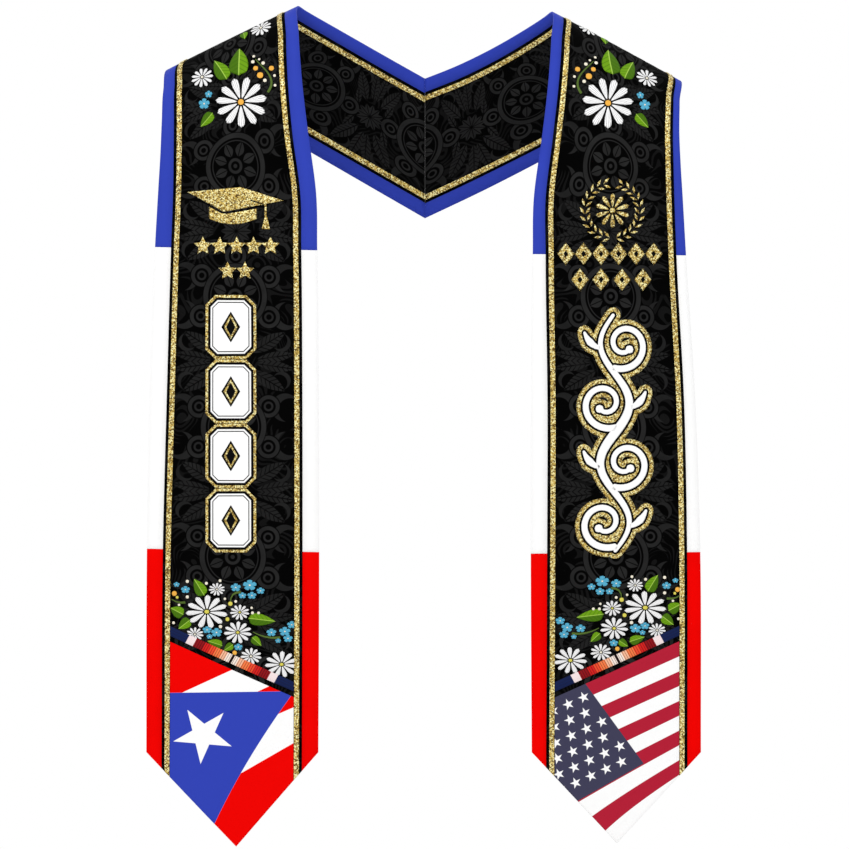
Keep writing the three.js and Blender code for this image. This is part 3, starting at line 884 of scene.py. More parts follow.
def ornament(finish):
    """Share of grey in the tone-on-tone print: looped rosettes, with fans, leaves and strokes between."""
    u, v = finish.print_xy()
    x = u - END_WIDTH / 2
    y = ((v - ORNAMENT_START) / ORNAMENT_PERIOD).from_whole() * ORNAMENT_PERIOD
    reach = distance_from(x, y)
    inside = reach.step(ROSETTE_RADIUS - 6, ROSETTE_RADIUS - 5.4).inverse()
    half_width = ((reach - PETAL_START).math("MAXIMUM", 0.0) / PETAL_LENGTH * np.pi).sine() * PETAL_HALF_WIDTH
    rosette = blades(folded_turn(x, y, 8, np.pi / 8), reach, half_width, 0.8) * inside * reach.step(8.8, 9.4)
    seeds = (line_at(reach, 5.6, 2.6) + reach.step(1.6, 2.1).inverse()) * inside
    rings = line_at(reach, ROSETTE_RADIUS, 4.4) + line_at(reach, ROSETTE_RADIUS - 4.6, 0.9)
    lobe = folded_turn(x, y, 6, np.pi / 6)
    loop = distance_from(reach * lobe.math("COSINE") - LOOP_PLACE, reach * lobe.sine())
    outside = reach.step(ROSETTE_RADIUS + 2.6, ROSETTE_RADIUS + 3.2)
    loops = (line_at(loop, LOOP_RADIUS, 3.4) + line_at(loop, 3.4, 1.8)) * outside
    clear = outside * loop.step(LOOP_RADIUS + 2.4, LOOP_RADIUS + 3.0)
    aside, between = x.size(), (y.size() - ORNAMENT_PERIOD / 2) * -1.0
    fan_reach = distance_from(x, between)
    half_width = ((fan_reach / FAN_RADIUS) * np.pi).sine() * FAN_HALF_WIDTH
    fans = (blades(folded_turn(x, between, 12), fan_reach, half_width, 0.7)
            * fan_reach.step(FAN_RADIUS - 0.6, FAN_RADIUS).inverse())
    sprays = greatest([leaf_figure(aside, between, **row) for row in named(SPRAY_COLUMNS, SPRAYS)]
                      + [crescent(aside, between, **row) for row in named(CRESCENT_COLUMNS, CRESCENTS)])
    flow = flow_lines(finish, u, v) * fan_reach.step(FAN_RADIUS, FAN_RADIUS + 1.0) * FLOW_SHARE
    figures = greatest([sprays * 0.8, flow]) * clear + fans * 0.9
    return (rings + rosette + seeds + loops + figures).math("MINIMUM", 1.0)


def ornamented_black():
    """Black satin with the tone-on-tone print, whose grey is uneven, and a faint line along the back seam."""
    finish = Finish("black satin", specular=0.012)
    ground = finish.blend(finish.noise(34, 3), "#010101", "#040404")
    figure = finish.blend(finish.noise(60, 2), "#191919", "#2b2b2b")
    printed = finish.blend(ornament(finish), ground, figure)
    from_seam, = finish.parts(finish.place(), "X")
    seam = line_at(from_seam, 0.0, SEAM_LINE * METRES, 0.3 * METRES)
    return finish.cloth(finish.blend(seam, printed, "#363636"), 0.55)


# The left flag, by photo pixels
FOLD_CORNER = (290.0, 697.6)
FOLD_SLOPE = 0.72
FOLD_CURVE = 0.0011
BIG_STAR = (203.5, 735.0)
BIG_STAR_RADIUS = 26.0
BIG_STAR_STRETCH = 1.06


def left_flag_print():
    """A blue field with a white star over red and white stripes, whose parts meet along straight cuts.

    The cut down the middle bends as a parabola in the depth below its corner.
    """
    finish = Finish("left flag print", specular=0.015)
    x, y = finish.print_xy()
    red, white, blue = "#ec0301", "#fafafa", "#3243b2"
    field_top = left_of(x, y, (171.2, 693.0), (278.0, 691.4))
    colour = finish.blend(left_of(x, y, (183.6, 692.2), (231.8, 670.1)) * field_top, white, red)
    colour = finish.blend(left_of(x, y, (266.6, 687.5), (258.6, 691.3)) * field_top, colour, red)
    corner = from_photo(FOLD_CORNER)
    depth = y * -1.0 + corner[1]
    beyond_fold = (x - corner[0] + depth * FOLD_SLOPE - depth * depth * FOLD_CURVE).step(-0.12, 0.12)
    band = left_of(x, y, (294.7, 707.0), (280.0, 713.4)) * left_of(x, y, (242.5, 772.6), (294.7, 742.5))
    right = finish.blend(band, red, white)
    colour = finish.blend(beyond_fold * field_top.inverse(), colour, right)
    colour = finish.blend(beyond_fold.inverse() * field_top.inverse(), colour, blue)
    star_x, star_y = from_photo(BIG_STAR)
    figure = star_shape((x - star_x) / BIG_STAR_STRETCH, y - star_y, BIG_STAR_RADIUS, np.radians(49))
    return finish.cloth(finish.blend(figure, colour, white))


# The right flag, by photo pixels
STRIPE_PITCH = 13.2
STRIPE_COUNT = 9.9
STRIPES_TOP = (678.6, 642.0)
STRIPE_SLOPE = 0.444
STRIPE_FAN = 0.21
STRIPE_FAN_DEPTH = 119.0
STAR_FIRST = (583.3, 697.3)
STAR_ALONG = (-15.26, 7.0)
STAR_DOWN = (1.47, 15.73)
STAR_RADIUS = 5.2


def right_flag_print():
    """Stripes that fan out a little towards the tip, and a dark field of stars in rows.

    A stripe is a half wave of the sine of the depth, whose slope grows as the cube of the depth. A star
    stands at the nearest whole steps along and down the rows.
    """
    finish = Finish("right flag print", specular=0.06)
    x, y = finish.print_xy()
    top_x, top_y = from_photo(STRIPES_TOP)

    def below_top(slope):
        """Depth below the top of the stripes, for their slope."""
        return (y + (x * -1.0 + top_x) * slope) * -1.0 + top_y

    share = (below_top(0.5) / STRIPE_FAN_DEPTH).math("MAXIMUM", 0.0)
    depth = below_top(share * share * share * STRIPE_FAN + STRIPE_SLOPE)
    wave = ((depth.math("MAXIMUM", 1.0) / STRIPE_PITCH).math("MINIMUM", STRIPE_COUNT) * np.pi).sine()
    colour = finish.blend(wave.step(-0.03, 0.03), "#fafafa", "#b01c34")
    field = left_of(x, y, (643.0, 763.0), (586.0, 685.0)) * left_of(x, y, (576.5, 801.5), (643.0, 764.0))
    colour = finish.blend(field, colour, "#3e3d55")
    first_x, first_y = from_photo(STAR_FIRST)
    basis = np.array([STAR_ALONG, STAR_DOWN]).T * MM_PER_PIXEL * np.array([[1.0], [-1.0]])
    back = np.linalg.inv(basis)
    dx, dy = x - first_x, y - first_y
    i, j = ((dx * row[0] + dy * row[1]).math("ROUND") for row in back)
    star_x, star_y = (i * row[0] + j * row[1] for row in basis)
    figure = star_shape(dx - star_x, dy - star_y, STAR_RADIUS, np.radians(114))
    middle = (star_x + first_x, star_y + first_y)
    kept = left_of(*middle, (638.0, 766.0), (581.0, 688.0)) * left_of(*middle, (576.5, 795.0), (643.0, 759.0))
    return finish.cloth(finish.blend(figure * kept * j.step(-0.6, -0.4), colour, "#fafafa"))


# Colours of the ribbon bar, each from a share of the way from its middle to its ends
BAR_COLOURS = ((0.0, "#20100c"), (0.018, "#f6e6da"), (0.09, "#f4b795"), (0.17, "#f27a45"), (0.27, "#ea4a2c"),
               (0.36, "#d21f1c"), (0.45, "#8c0f18"), (0.60, "#f0dede"), (0.715, "#10204e"))
BAR_STRIPE = 0.036


def ribbon_bar_print():
    """Bars of colour to either side of the middle, with thin dark lines between the small ones."""
    finish = Finish("ribbon bar print", specular=0.06)
    along, across = finish.print_xy()
    from_middle = along.size()
    ramp = finish.node("ShaderNodeValToRGB", Fac=from_middle)
    ramp.color_ramp.interpolation = "CONSTANT"
    stops = ramp.color_ramp.elements
    stops.remove(stops[1])
    stops[0].color = rgb(BAR_COLOURS[0][1])
    for place, colour in BAR_COLOURS[1:]:
        stops.new(place).color = rgb(colour)
    small = from_middle.step(0.59, 0.6).inverse()
    gaps = line_at((from_middle / BAR_STRIPE).from_whole(), 0.0, 0.2, 0.06) * small
    threads = ((across * 2.4).sine() * 0.5 + 0.5) * 0.25
    dark = greatest([gaps * 0.85, threads * from_middle.step(0.7, 0.74)])
    return finish.cloth(finish.blend(dark, ramp.outputs["Color"], "#1a0808"))


def petal_print(name, text, line_text):
    """Petals filled with long stitches: thin wavy lines down the petal."""
    finish = Finish(name, specular=0.06)
    side, along = finish.print_xy()
    sway = finish.noise(420, 2) * 0.8
    lines = line_at((side * 2.2 + sway + along * 0.4).fraction(), 0.5, 0.26, 0.1)
    return finish.cloth(finish.blend(lines * along.step(0.2, 0.35) * 0.8, text, line_text))


def leaf_print():
    """Leaves with a light midrib, slanted veins, and one half darker than the other."""
    finish = Finish("leaf print", specular=0.06)
    side, along = finish.print_xy()
    half = finish.blend(side.step(-0.05, 0.05), "#466f0c", "#6a9a14")
    veins = line_at((along * 3.2 + side.size() * 1.3).fraction(), 0.5, 0.18, 0.08)
    colour = finish.blend(veins * 0.6, half, "#335c0a")
    return finish.cloth(finish.blend(line_at(side, 0.03, 0.1, 0.05), colour, "#a9cd55"))


BLACK = ornamented_black()
LINING = satin("black lining", "#101010", 0.62, specular=0.04)
BLACK_PRINT = satin("black print", "#060606", specular=0.04)
# The clouding of the blue, white and red bands is a painted sheen
BLUE = satin("blue satin", "#2f41b0", 0.46)
WHITE = satin("white satin", "#f9f9f9", variation=0.01)
RED = satin("red satin", "#ec0301", specular=0.012)
# The gold glitter's pale flake colour is a painted glint, and its dark flake colour a painted shade
GOLD = glitter("gold glitter", "#d2b256", "#fff7b8", "#5a4112")
WHITE_PRINT = satin("white print", "#fbfbfb", variation=0.01)
LEFT_FLAG = left_flag_print()
RIGHT_FLAG = right_flag_print()
BAR = ribbon_bar_print()
PETAL = petal_print("white petal print", "#fbfbfb", "#77777b")
LEAF = leaf_print()
STEM = satin("stem print", "#52692c", variation=0.2)
SKY = petal_print("sky blue petal print", "#5cb2d2", "#22708e")
PALE = satin("pale bead print", "#f1ead6")
YELLOW = satin("yellow bead print", "#d9cf5a")
ORANGE = satin("orange bead print", "#f0b14a", variation=0.15)
FLOWER_COLOURS = [BLACK_PRINT, PETAL, LEAF, STEM, SKY, PALE, YELLOW, ORANGE]
INK, WHITE_PETAL, GREEN, TWIG, SKY_PETAL, PALE_BEAD, YELLOW_BEAD, ORANGE_BEAD = range(len(FLOWER_COLOURS))


# Cloth of one side

def constant(value):
    """A run that is the same all the way across."""
    return lambda share: np.full(np.shape(share), float(value))


def section_run(strip, name, shift=0.0):
    """The run of a named section, moved along the cloth by a little."""
    return constant(strip["runs"][NAMES.index(name)] + shift)


def cloth_place(strip, run, share):
    """Millimetres across the cloth from its inner edge, and along it from the hem's corners."""
    return np.stack([share * END_WIDTH, run], axis=-1)


def front_place(strip, run, share):
    """Millimetres across and up as the front view shows the cloth."""
    return ruled(strip, run, share)[..., [0, 2]]


def bar_place(strip, run, share):
    """Share of the way from the bar's middle to its ends, square to the bar, and millimetres up it."""
    first, last = (share_in(strip, run, edge, TRIM_FAR + PIECE_GAP) for edge in ("inner", "outer"))
    up = run - flag_run(share) - BAR_SPACING
    slope = (FLAG_HEIGHT_OUTER - FLAG_HEIGHT_INNER) / END_WIDTH
    past_middle = (share - (first + last) / 2) * END_WIDTH + slope * (up - BAR_WIDTH / 2)
    return np.stack([2 * past_middle / ((last - first) * END_WIDTH), up], axis=-1)


def replace(obj, node):
    """Put a finished piece in the place of its solid."""
    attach(obj, "root")
    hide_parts(node)
    return obj


def beside(edge, near, far):
    """The two sides of a piece along an edge, in order from the inner edge of the cloth."""
    return ((edge, near), (edge, far)) if edge == "inner" else ((edge, far), (edge, near))


def build_cloth(strip):
    """The cloth of one side: its black body, and a list of the bands, trims, flag end and ribbon bar."""
    side = strip["name"]
    half = MEETING / 2
    seam = section_run(strip, "nape_seam")
    others = []

    def hem(share):
        """The run of the pointed hem."""
        return hem_run(strip, share)

    def add(name, node, slot, *shell, **choices):
        """A shell of cloth in the place of a solid."""
        piece = cloth_shell(strip, f"{side}_{name}", *shell, **choices)
        others.append(replace(piece, f"{side}_{node}"))

    sides = (("inner", half), ("outer", half))
    body = cloth_shell(strip, f"{side}_body_cloth", sides, hem, seam, -FACE, FACE, [BLACK, LINING],
                       uv_of=cloth_place, slot_of=lambda top, run: (~top & (run < strip["runs"][CREST])) * 1)
    replace(body, f"{side}_body")
    colours = {"red": (RED, hem, section_run(strip, "red_top", -half)),
               "white": (WHITE, section_run(strip, "red_top", half), section_run(strip, "white_top", -half)),
               "blue": (BLUE, section_run(strip, "white_top", half), seam)}
    crest = section_run(strip, "crest", half)
    for edge, neck in (("inner", "neck_upper"), ("outer", "neck_lower")):
        for colour, (material, start, end) in colours.items():
            add(f"{edge}_{colour}_cloth", f"{edge}_band_{colour}", f"{colour}_satin",
                beside(edge, None, -half), start, end, -FACE, FACE, [material])
        trim = beside(edge, TRIM_INSET, TRIM_FAR)
        add(f"{edge}_glitter", f"{edge}_gold_trim", "gold_glitter",
            trim, hem, seam, OVERLAY_BASE, OVERLAY_TOP, [GOLD])
        add(f"{neck}_glitter", f"{neck}_gold_trim", "gold_glitter",
            trim, crest, seam, -OVERLAY_TOP, -OVERLAY_BASE, [GOLD])
    sides = (("inner", TRIM_FAR + PIECE_GAP), ("outer", TRIM_FAR + PIECE_GAP))
    add("flag_cloth", "flag_end", f"{side}_flag", sides, hem, flag_run, OVERLAY_BASE, OVERLAY_TOP,
        [{"left": LEFT_FLAG, "right": RIGHT_FLAG}[side]], uv_of=front_place)
    add("bar_cloth", "ribbon_bar", "ribbon_bar", sides, lambda share: flag_run(share) + BAR_SPACING,
        lambda share: flag_run(share) + BAR_SPACING + BAR_WIDTH, OVERLAY_BASE, OVERLAY_TOP, [BAR],
        uv_of=bar_place)
    return body, others


# Printed motifs, placed by photo pixels on the left end; the right end mirrors the flowers

CLUSTER_COLUMNS = {"daisies": ("x", "y", "radius", "heart"),
                   "leaves": ("base_x", "base_y", "tip_x", "tip_y", "half_width"),
                   "blues": ("x", "y", "radius"), "beads": ("x", "y", "radius")}
CLUSTERS = {
    "top": {
        "mirror": 849.0, "drop": 1.0, "flatness": 1.0, "turn": -0.25,
        "daisies": ((240.9, 102.0, 26.0, ORANGE_BEAD), (202.0, 77.0, 11.6, PALE_BEAD),
                    (260.6, 27.4, 11.4, PALE_BEAD)),
        "leaves": ((240.6, 76.6, 236.6, 44.6, 10.0), (228.5, 79.8, 211.6, 57.6, 7.8),
                   (212.5, 112.5, 200.5, 127.0, 5.4), (239.5, 29.0, 247.5, 40.0, 4.4)),
        "blues": ((208.5, 94.0, 3.6), (204.0, 103.6, 5.4)),
        "beads": {ORANGE_BEAD: ((260.0, 75.0, 3.3), (255.5, 68.0, 2.6), (271.3, 68.0, 2.7)),
                  PALE_BEAD: ((252.7, 61.5, 1.9), (253.6, 56.0, 1.5), (259.0, 59.0, 1.3), (263.0, 62.8, 1.9),
                              (274.5, 75.4, 1.5), (264.8, 80.2, 1.9), (275.0, 85.2, 1.5))},
        "stems": (((254.0, 56.0), (263.6, 67.5), (271.0, 79.0), (268.0, 93.0)),),
    },
    "bottom": {
        "mirror": 852.0, "drop": -4.0, "flatness": 0.79, "turn": -0.05,
        "daisies": ((206.7, 611.8, 21.4, YELLOW_BEAD), (237.8, 632.5, 14.3, YELLOW_BEAD),
                    (239.7, 612.4, 10.0, YELLOW_BEAD), (216.8, 589.4, 8.3, PALE_BEAD),
                    (251.0, 656.3, 10.8, PALE_BEAD), (281.6, 664.4, 17.0, YELLOW_BEAD),
                    (194.8, 634.4, 9.0, PALE_BEAD)),
        "leaves": ((204.2, 595.8, 193.8, 579.0, 6.2), (183.5, 615.0, 170.0, 608.0, 6.0),
                   (190.0, 619.8, 178.0, 629.0, 5.6), (248.0, 618.4, 275.6, 621.6, 6.2),
                   (251.8, 637.4, 261.4, 646.0, 4.4), (222.5, 646.0, 207.0, 641.0, 4.8),
                   (233.0, 644.4, 223.6, 650.6, 4.0)),
        "blues": ((176.4, 584.6, 3.0), (185.3, 589.7, 4.4), (235.7, 587.5, 5.0), (249.7, 585.3, 6.6),
                  (260.5, 590.8, 4.0), (242.4, 595.5, 3.8), (251.9, 595.5, 4.4), (207.0, 629.9, 4.4),
                  (216.5, 632.5, 5.4), (209.5, 636.6, 3.0), (238.2, 647.1, 4.2), (271.4, 632.5, 4.8),
                  (284.8, 631.5, 5.6), (291.8, 624.8, 4.6), (288.0, 638.5, 4.6), (278.1, 640.8, 2.8)),
        "beads": {PALE_BEAD: ((187.2, 581.5, 1.7), (206.3, 583.4, 1.6), (220.0, 580.8, 1.5),
                              (224.8, 598.9, 1.3), (235.7, 601.5, 1.5), (220.4, 626.7, 1.8),
                              (251.6, 607.9, 1.3), (252.5, 613.0, 1.6), (258.6, 613.0, 1.5),
                              (187.2, 597.0, 1.7), (178.9, 605.0, 1.3), (173.4, 622.9, 1.5)),
                  YELLOW_BEAD: ((230.3, 603.8, 2.3), (227.4, 619.3, 2.1), (177.0, 597.4, 1.5)),
                  ORANGE_BEAD: ((174.2, 593.6, 2.6), (234.6, 652.9, 2.3))},
        "stems": (((230.3, 602.5), (233.0, 594.5), (240.8, 592.3)),
                  ((252.9, 632.0), (266.0, 637.0), (280.3, 637.6)),
                  ((171.3, 599.3), (178.0, 602.4), (185.3, 602.5))),
    },
}
DAISY_PETALS = 11

# How far, in millimetres, the printed figures lie above the cloth, and how thick they are
LOW, MIDDLE, HIGH = 0.12, 0.16, 0.3
DAISY_BACK, DAISY_LIFT, HEART_RIM, HEART_LIFT = 0.32, 0.44, 0.5, 0.6
THIN, STEM_HEIGHT, RELIEF, GILT = 0.1, 0.15, 0.22, 0.3


def flowers(strip, where):
    """One cluster of flowers on a strip: stems lowest, then leaves, blue flowers, beads and daisies."""
    gathering = Gathering()
    cluster = CLUSTERS[where]
    flat = cluster["flatness"]

    def pixel(x, y):
        """The photo's pixel for a place on the left end, mirrored for the right end."""
        return (x, y) if strip["sign"] < 0 else (cluster["mirror"] - x, y + cluster["drop"])

    def placed(kind, rows):
        """Spot, radius in millimetres and row of each round figure."""
        for row in named(CLUSTER_COLUMNS[kind], rows):
            yield Spot(strip, pixel(row["x"], row["y"])), row["radius"] * MM_PER_PIXEL, row

    for points in cluster["stems"]:
        seen = from_photo([pixel(*point) for point in points])
        middle = pixel(*points[len(points) // 2])
        path = curve_through(seen - from_photo(middle))
        stroke(gathering, Spot(strip, middle), path, np.linspace(0.4, 1.2, len(path)), LOW, STEM_HEIGHT, TWIG)
    for row in named(CLUSTER_COLUMNS["leaves"], cluster["leaves"]):
        base, tip = pixel(row["base_x"], row["base_y"]), pixel(row["tip_x"], row["tip_y"])
        leaf(gathering, strip, base, tip, row["half_width"] * MM_PER_PIXEL, MIDDLE, GREEN)
    for spot, radius, _ in placed("blues", cluster["blues"]):
        petals(gathering, spot, 5, 0.1 * radius, 1.06 * radius, 0.56 * radius, MIDDLE, RELIEF, SKY_PETAL,
               taper=0.3, flat=flat)
        disc(gathering, spot, 0.17 * radius, HIGH, RELIEF, PALE_BEAD, flat=flat)
    for colour, beads in cluster["beads"].items():
        for spot, radius, _ in placed("beads", beads):
            disc(gathering, spot, radius, MIDDLE, RELIEF, colour)
    for spot, radius, row in placed("daisies", cluster["daisies"]):
        disc(gathering, spot, 0.9 * radius, DAISY_BACK, THIN, INK, flat=flat)
        petals(gathering, spot, DAISY_PETALS, 0.13 * radius, radius, 0.2 * radius, DAISY_LIFT, RELIEF,
               WHITE_PETAL, turn=cluster["turn"] * strip["sign"], flat=flat)
        disc(gathering, spot, 0.16 * radius, HEART_RIM, THIN, INK, flat=flat)
        disc(gathering, spot, 0.12 * radius, HEART_LIFT, RELIEF, row["heart"], flat=flat)
    return gathering


CAP_MIDDLE = (235.0, 205.0)
CAP_BOARD = ((186.0, 191.0), (223.5, 212.0), (284.0, 200.8), (241.0, 187.0))
CAP_CROWN = {"left": 209.0, "right": 256.8, "front": 223.5, "top_left": 206.6, "top_front": 214.4,
             "top_right": 208.4, "side_foot": 218.6, "dip": 5.6}
CAP_SLIT = ((250.6, 200.4), (262.6, 203.8))
SLIT_HEIGHT = 0.14
INKED = 0.12
CAP_CORD = ((265.6, 203.6), (265.4, 217.6))
CAP_TASSEL = {"top": 217.0, "foot": 229.0, "middle": 265.9, "half_top": 1.3, "half_foot": 4.2}
ROW_COLUMNS = ("count", "x", "y", "pitch")
STAR_ROWS = ((5, 236.6, 246.0, 16.9), (2, 236.3, 271.0, 17.5))
STAR_SIZE = 9.8
STAR_HOLLOW = 0.48


def row_spots(strip, rows):
    """Spots of level rows of figures, each row centred on its place."""
    for row in named(ROW_COLUMNS, rows):
        for k in range(row["count"]):
            yield Spot(strip, (row["x"] + (k - (row["count"] - 1) / 2) * row["pitch"], row["y"]))


def gold_cap(strip):
    """A square cap from the side over two rows of stars: board, crown below a thin gap, and corded tassel.

    The board is a straight mix of its four corners. The crown's foot dips as a parabola, and the tassel
    widens evenly downward.
    """
    gathering = Gathering()
    spot = Spot(strip, CAP_MIDDLE)
    middle = from_photo(CAP_MIDDLE)
    u, v = square_grid(5, 9, 0.05)

    def panel(x, y):
        """A gold panel over a grid of photo pixels."""
        seen = from_photo(np.stack([x, y], axis=-1)) - middle
        pillows(gathering, spot, seen[..., 0], seen[..., 1], MIDDLE, GILT, 0)

    weights = np.stack([(1 - u) * (1 - v), (1 + u) * (1 - v), (1 + u) * (1 + v), (1 - u) * (1 + v)], -1) / 4
    panel(*(weights @ axis for axis in np.array(CAP_BOARD).T))
    crown = CAP_CROWN
    across = mix(crown["left"], crown["right"], (u + 1) / 2)
    top = np.interp(across, [crown["left"], crown["front"], crown["right"]],
                    [crown["top_left"], crown["top_front"], crown["top_right"]])
    foot = crown["side_foot"] + crown["dip"] * (1 - u * u)
    panel(across, mix(foot, top, (v + 1) / 2))
    tassel = CAP_TASSEL
    half = mix(tassel["half_foot"], tassel["half_top"], (v + 1) / 2)
    panel(tassel["middle"] + u * half, mix(tassel["foot"], tassel["top"], (v + 1) / 2))
    stroke(gathering, spot, curve_through(from_photo(CAP_CORD) - middle), 1.0, MIDDLE, GILT, 0)
    stroke(gathering, spot, curve_through(from_photo(CAP_SLIT) - middle), 0.6, HIGH + 0.1, SLIT_HEIGHT, 1)
    for spot in row_spots(strip, STAR_ROWS):
        star(gathering, spot, STAR_SIZE * MM_PER_PIXEL, STAR_HOLLOW, MIDDLE, GILT, 0)
    return gathering


def lozenges(gathering, spot, half_width, half_height, lift, height, slot, reach=0.0, angles=(0.0,), lean=0):
    """Lozenges at a reach from a spot in the directions of the angles, each turned by a lean.

    Each is the square's grid stood on its corner: half the difference across, and half the sum along.
    """
    u, v = square_grid(2, 2, 0.2)
    side, along = half_width * (u - v) / 2, half_height * (u + v) / 2
    angle = np.asarray(angles)[:, None, None]
    long_way = angle + lean
    across = reach * np.sin(angle) + along * np.sin(long_way) + side * np.cos(long_way)
    up = reach * np.cos(angle) + along * np.cos(long_way) - side * np.sin(long_way)
    pillows(gathering, spot, across, up, lift, height, slot)


EMBLEM_MIDDLE = (612.5, 210.5)
WREATH_RADIUS = 24.5
WREATH_ARC = (14, 166)
WREATH_PAIRS = 11
LEAFLET_SIZE = (1.35, 3.9)
GOLD_PETALS = {"count": 10, "start": 2.6, "end": 15.5, "half_width": 2.9}
HEART_RADIUS, HEART_EDGE = 2.6, 1.0
LEAFLET_COLUMNS = ("reach", "lean")
LEAFLETS = ((WREATH_RADIUS + 2.6, -0.95), (WREATH_RADIUS - 2.6, -2.2))
LOZENGE_ROWS = ((6, 609.8, 253.8, 17.6), (4, 611.5, 279.6, 21.0))
LOZENGE_SIZE = (9.0, 11.5)
LOZENGE_EYE = (2.4, 3.4)


def gold_rosette(strip):
    """A rosette of petals within two rising sprays of paired leaflets, over two rows of lozenges.

    The pairs stand at equal angles on an arc, one leaflet inside it and one outside.
    """
    gathering = Gathering()
    spot = Spot(strip, EMBLEM_MIDDLE)
    spray = np.linspace(*np.radians(WREATH_ARC), WREATH_PAIRS)
    for side in (-1, 1):
        for row in named(LEAFLET_COLUMNS, LEAFLETS):
            lozenges(gathering, spot, *LEAFLET_SIZE, MIDDLE, GILT, 0, row["reach"], side * spray,
                     side * row["lean"])
    petals(gathering, spot, lift=MIDDLE, height=GILT, slot=0, **GOLD_PETALS)
    disc(gathering, spot, HEART_RADIUS + HEART_EDGE, HIGH + 0.1, INKED, 1)
    disc(gathering, spot, HEART_RADIUS, HIGH + 0.2, GILT, 0)
    for spot in row_spots(strip, LOZENGE_ROWS):
        lozenges(gathering, spot, *(size * MM_PER_PIXEL for size in LOZENGE_SIZE), MIDDLE, GILT, 0)
        lozenges(gathering, spot, *LOZENGE_EYE, HIGH + 0.1, INKED, 1)
    return gathering


TILE_PLACES = {"x": 230.8, "first_y": 327.0, "pitch": 64.5, "count": 4}
TILE_HALF = (25.6, 32.1)
TILE_CHAMFER = 10.0
TILE_RIM = 0.01
TILE_HEIGHT = 0.06
TILE_COLUMNS = ("inset", "lift", "colour")
TILE_LAYERS = ((0.0, 0.06, 0), (2.8, 0.14, 1), (5.2, 0.22, 2), (7.0, 0.3, 1), (7.8, 0.34, 2))
LOZENGE_HEIGHT = 0.05
LOZENGE_COLUMNS = ("half_width", "half_height", "lift", "colour")
LOZENGE_LAYERS = ((9.5, 15.5, 0.42, 1), (7.2, 12.6, 0.48, 0), (4.6, 9.2, 0.54, 1))


def stepped(corner, *inner):
    """Places from -1 to 1: a narrow rim and a cut corner at each end, and others between."""
    start = np.array([0, TILE_RIM, corner]) - 1
    return np.concatenate([start, inner, -start[::-1]])


def white_tiles(strip):
    """Tall tiles with cut corners in layers, each inset from the one below, with a lozenge at the middle.

    A point past the slanted line of a corner goes back to it, as far across as up.
    """
    gathering = Gathering()
    for k in range(TILE_PLACES["count"]):
        spot = Spot(strip, (TILE_PLACES["x"], TILE_PLACES["first_y"] + k * TILE_PLACES["pitch"]))
        for row in named(TILE_COLUMNS, TILE_LAYERS):
            half_width, half_height = (half - row["inset"] for half in TILE_HALF)
            chamfer = TILE_CHAMFER - 0.6 * row["inset"]
            uv = np.meshgrid(half_width * stepped(chamfer / half_width, 0),
                             half_height * stepped(chamfer / half_height, -0.3, 0.3))
            over = np.maximum(np.abs(uv).sum(axis=0) - (half_width + half_height - chamfer), 0) / 2
            across, up = (uv - np.sign(uv) * over) * MM_PER_PIXEL
            across[1:-1, 1:-1] *= 1 - TILE_RIM
            up[1:-1, 1:-1] *= 1 - TILE_RIM
            pillows(gathering, spot, across, up, row["lift"], TILE_HEIGHT, row["colour"])
        for row in named(LOZENGE_COLUMNS, LOZENGE_LAYERS):
            lozenges(gathering, spot, row["half_width"] * MM_PER_PIXEL, row["half_height"] * MM_PER_PIXEL,
                     row["lift"], LOZENGE_HEIGHT, row["colour"])
    return gathering


SCROLL_MIDDLE = (615.0, 433.0)
SCROLL_HALF_LENGTH = 106.0
SCROLL_BAY = 53.0
SCROLL_SWAY = 13.0
CURL_START = 24.0
CURL_END = 7.0
CURL_TURNS = 1.12
CURL_LEAD = 0.5
CURL_ASIDE_OF_STEM = -9.0
SCROLL_LEAF = ((0, 0), (9, 5), (15, 15))
STEM_HALF_WIDTHS = (1.6, 4.2, 1.6)
CURL_HALF_WIDTHS = (3.0, 2.0)
LEAF_HALF_WIDTHS = (1.6, 3.4, 1.0)
BUD_RADIUS = 3.6
SCROLL_HEIGHT = 0.08
SCROLL_COLUMNS = ("wider", "lift", "colour")
SCROLL_LAYERS = ((5.6, 0.06, 0), (1.8, 0.16, 1), (0.0, 0.26, 2))


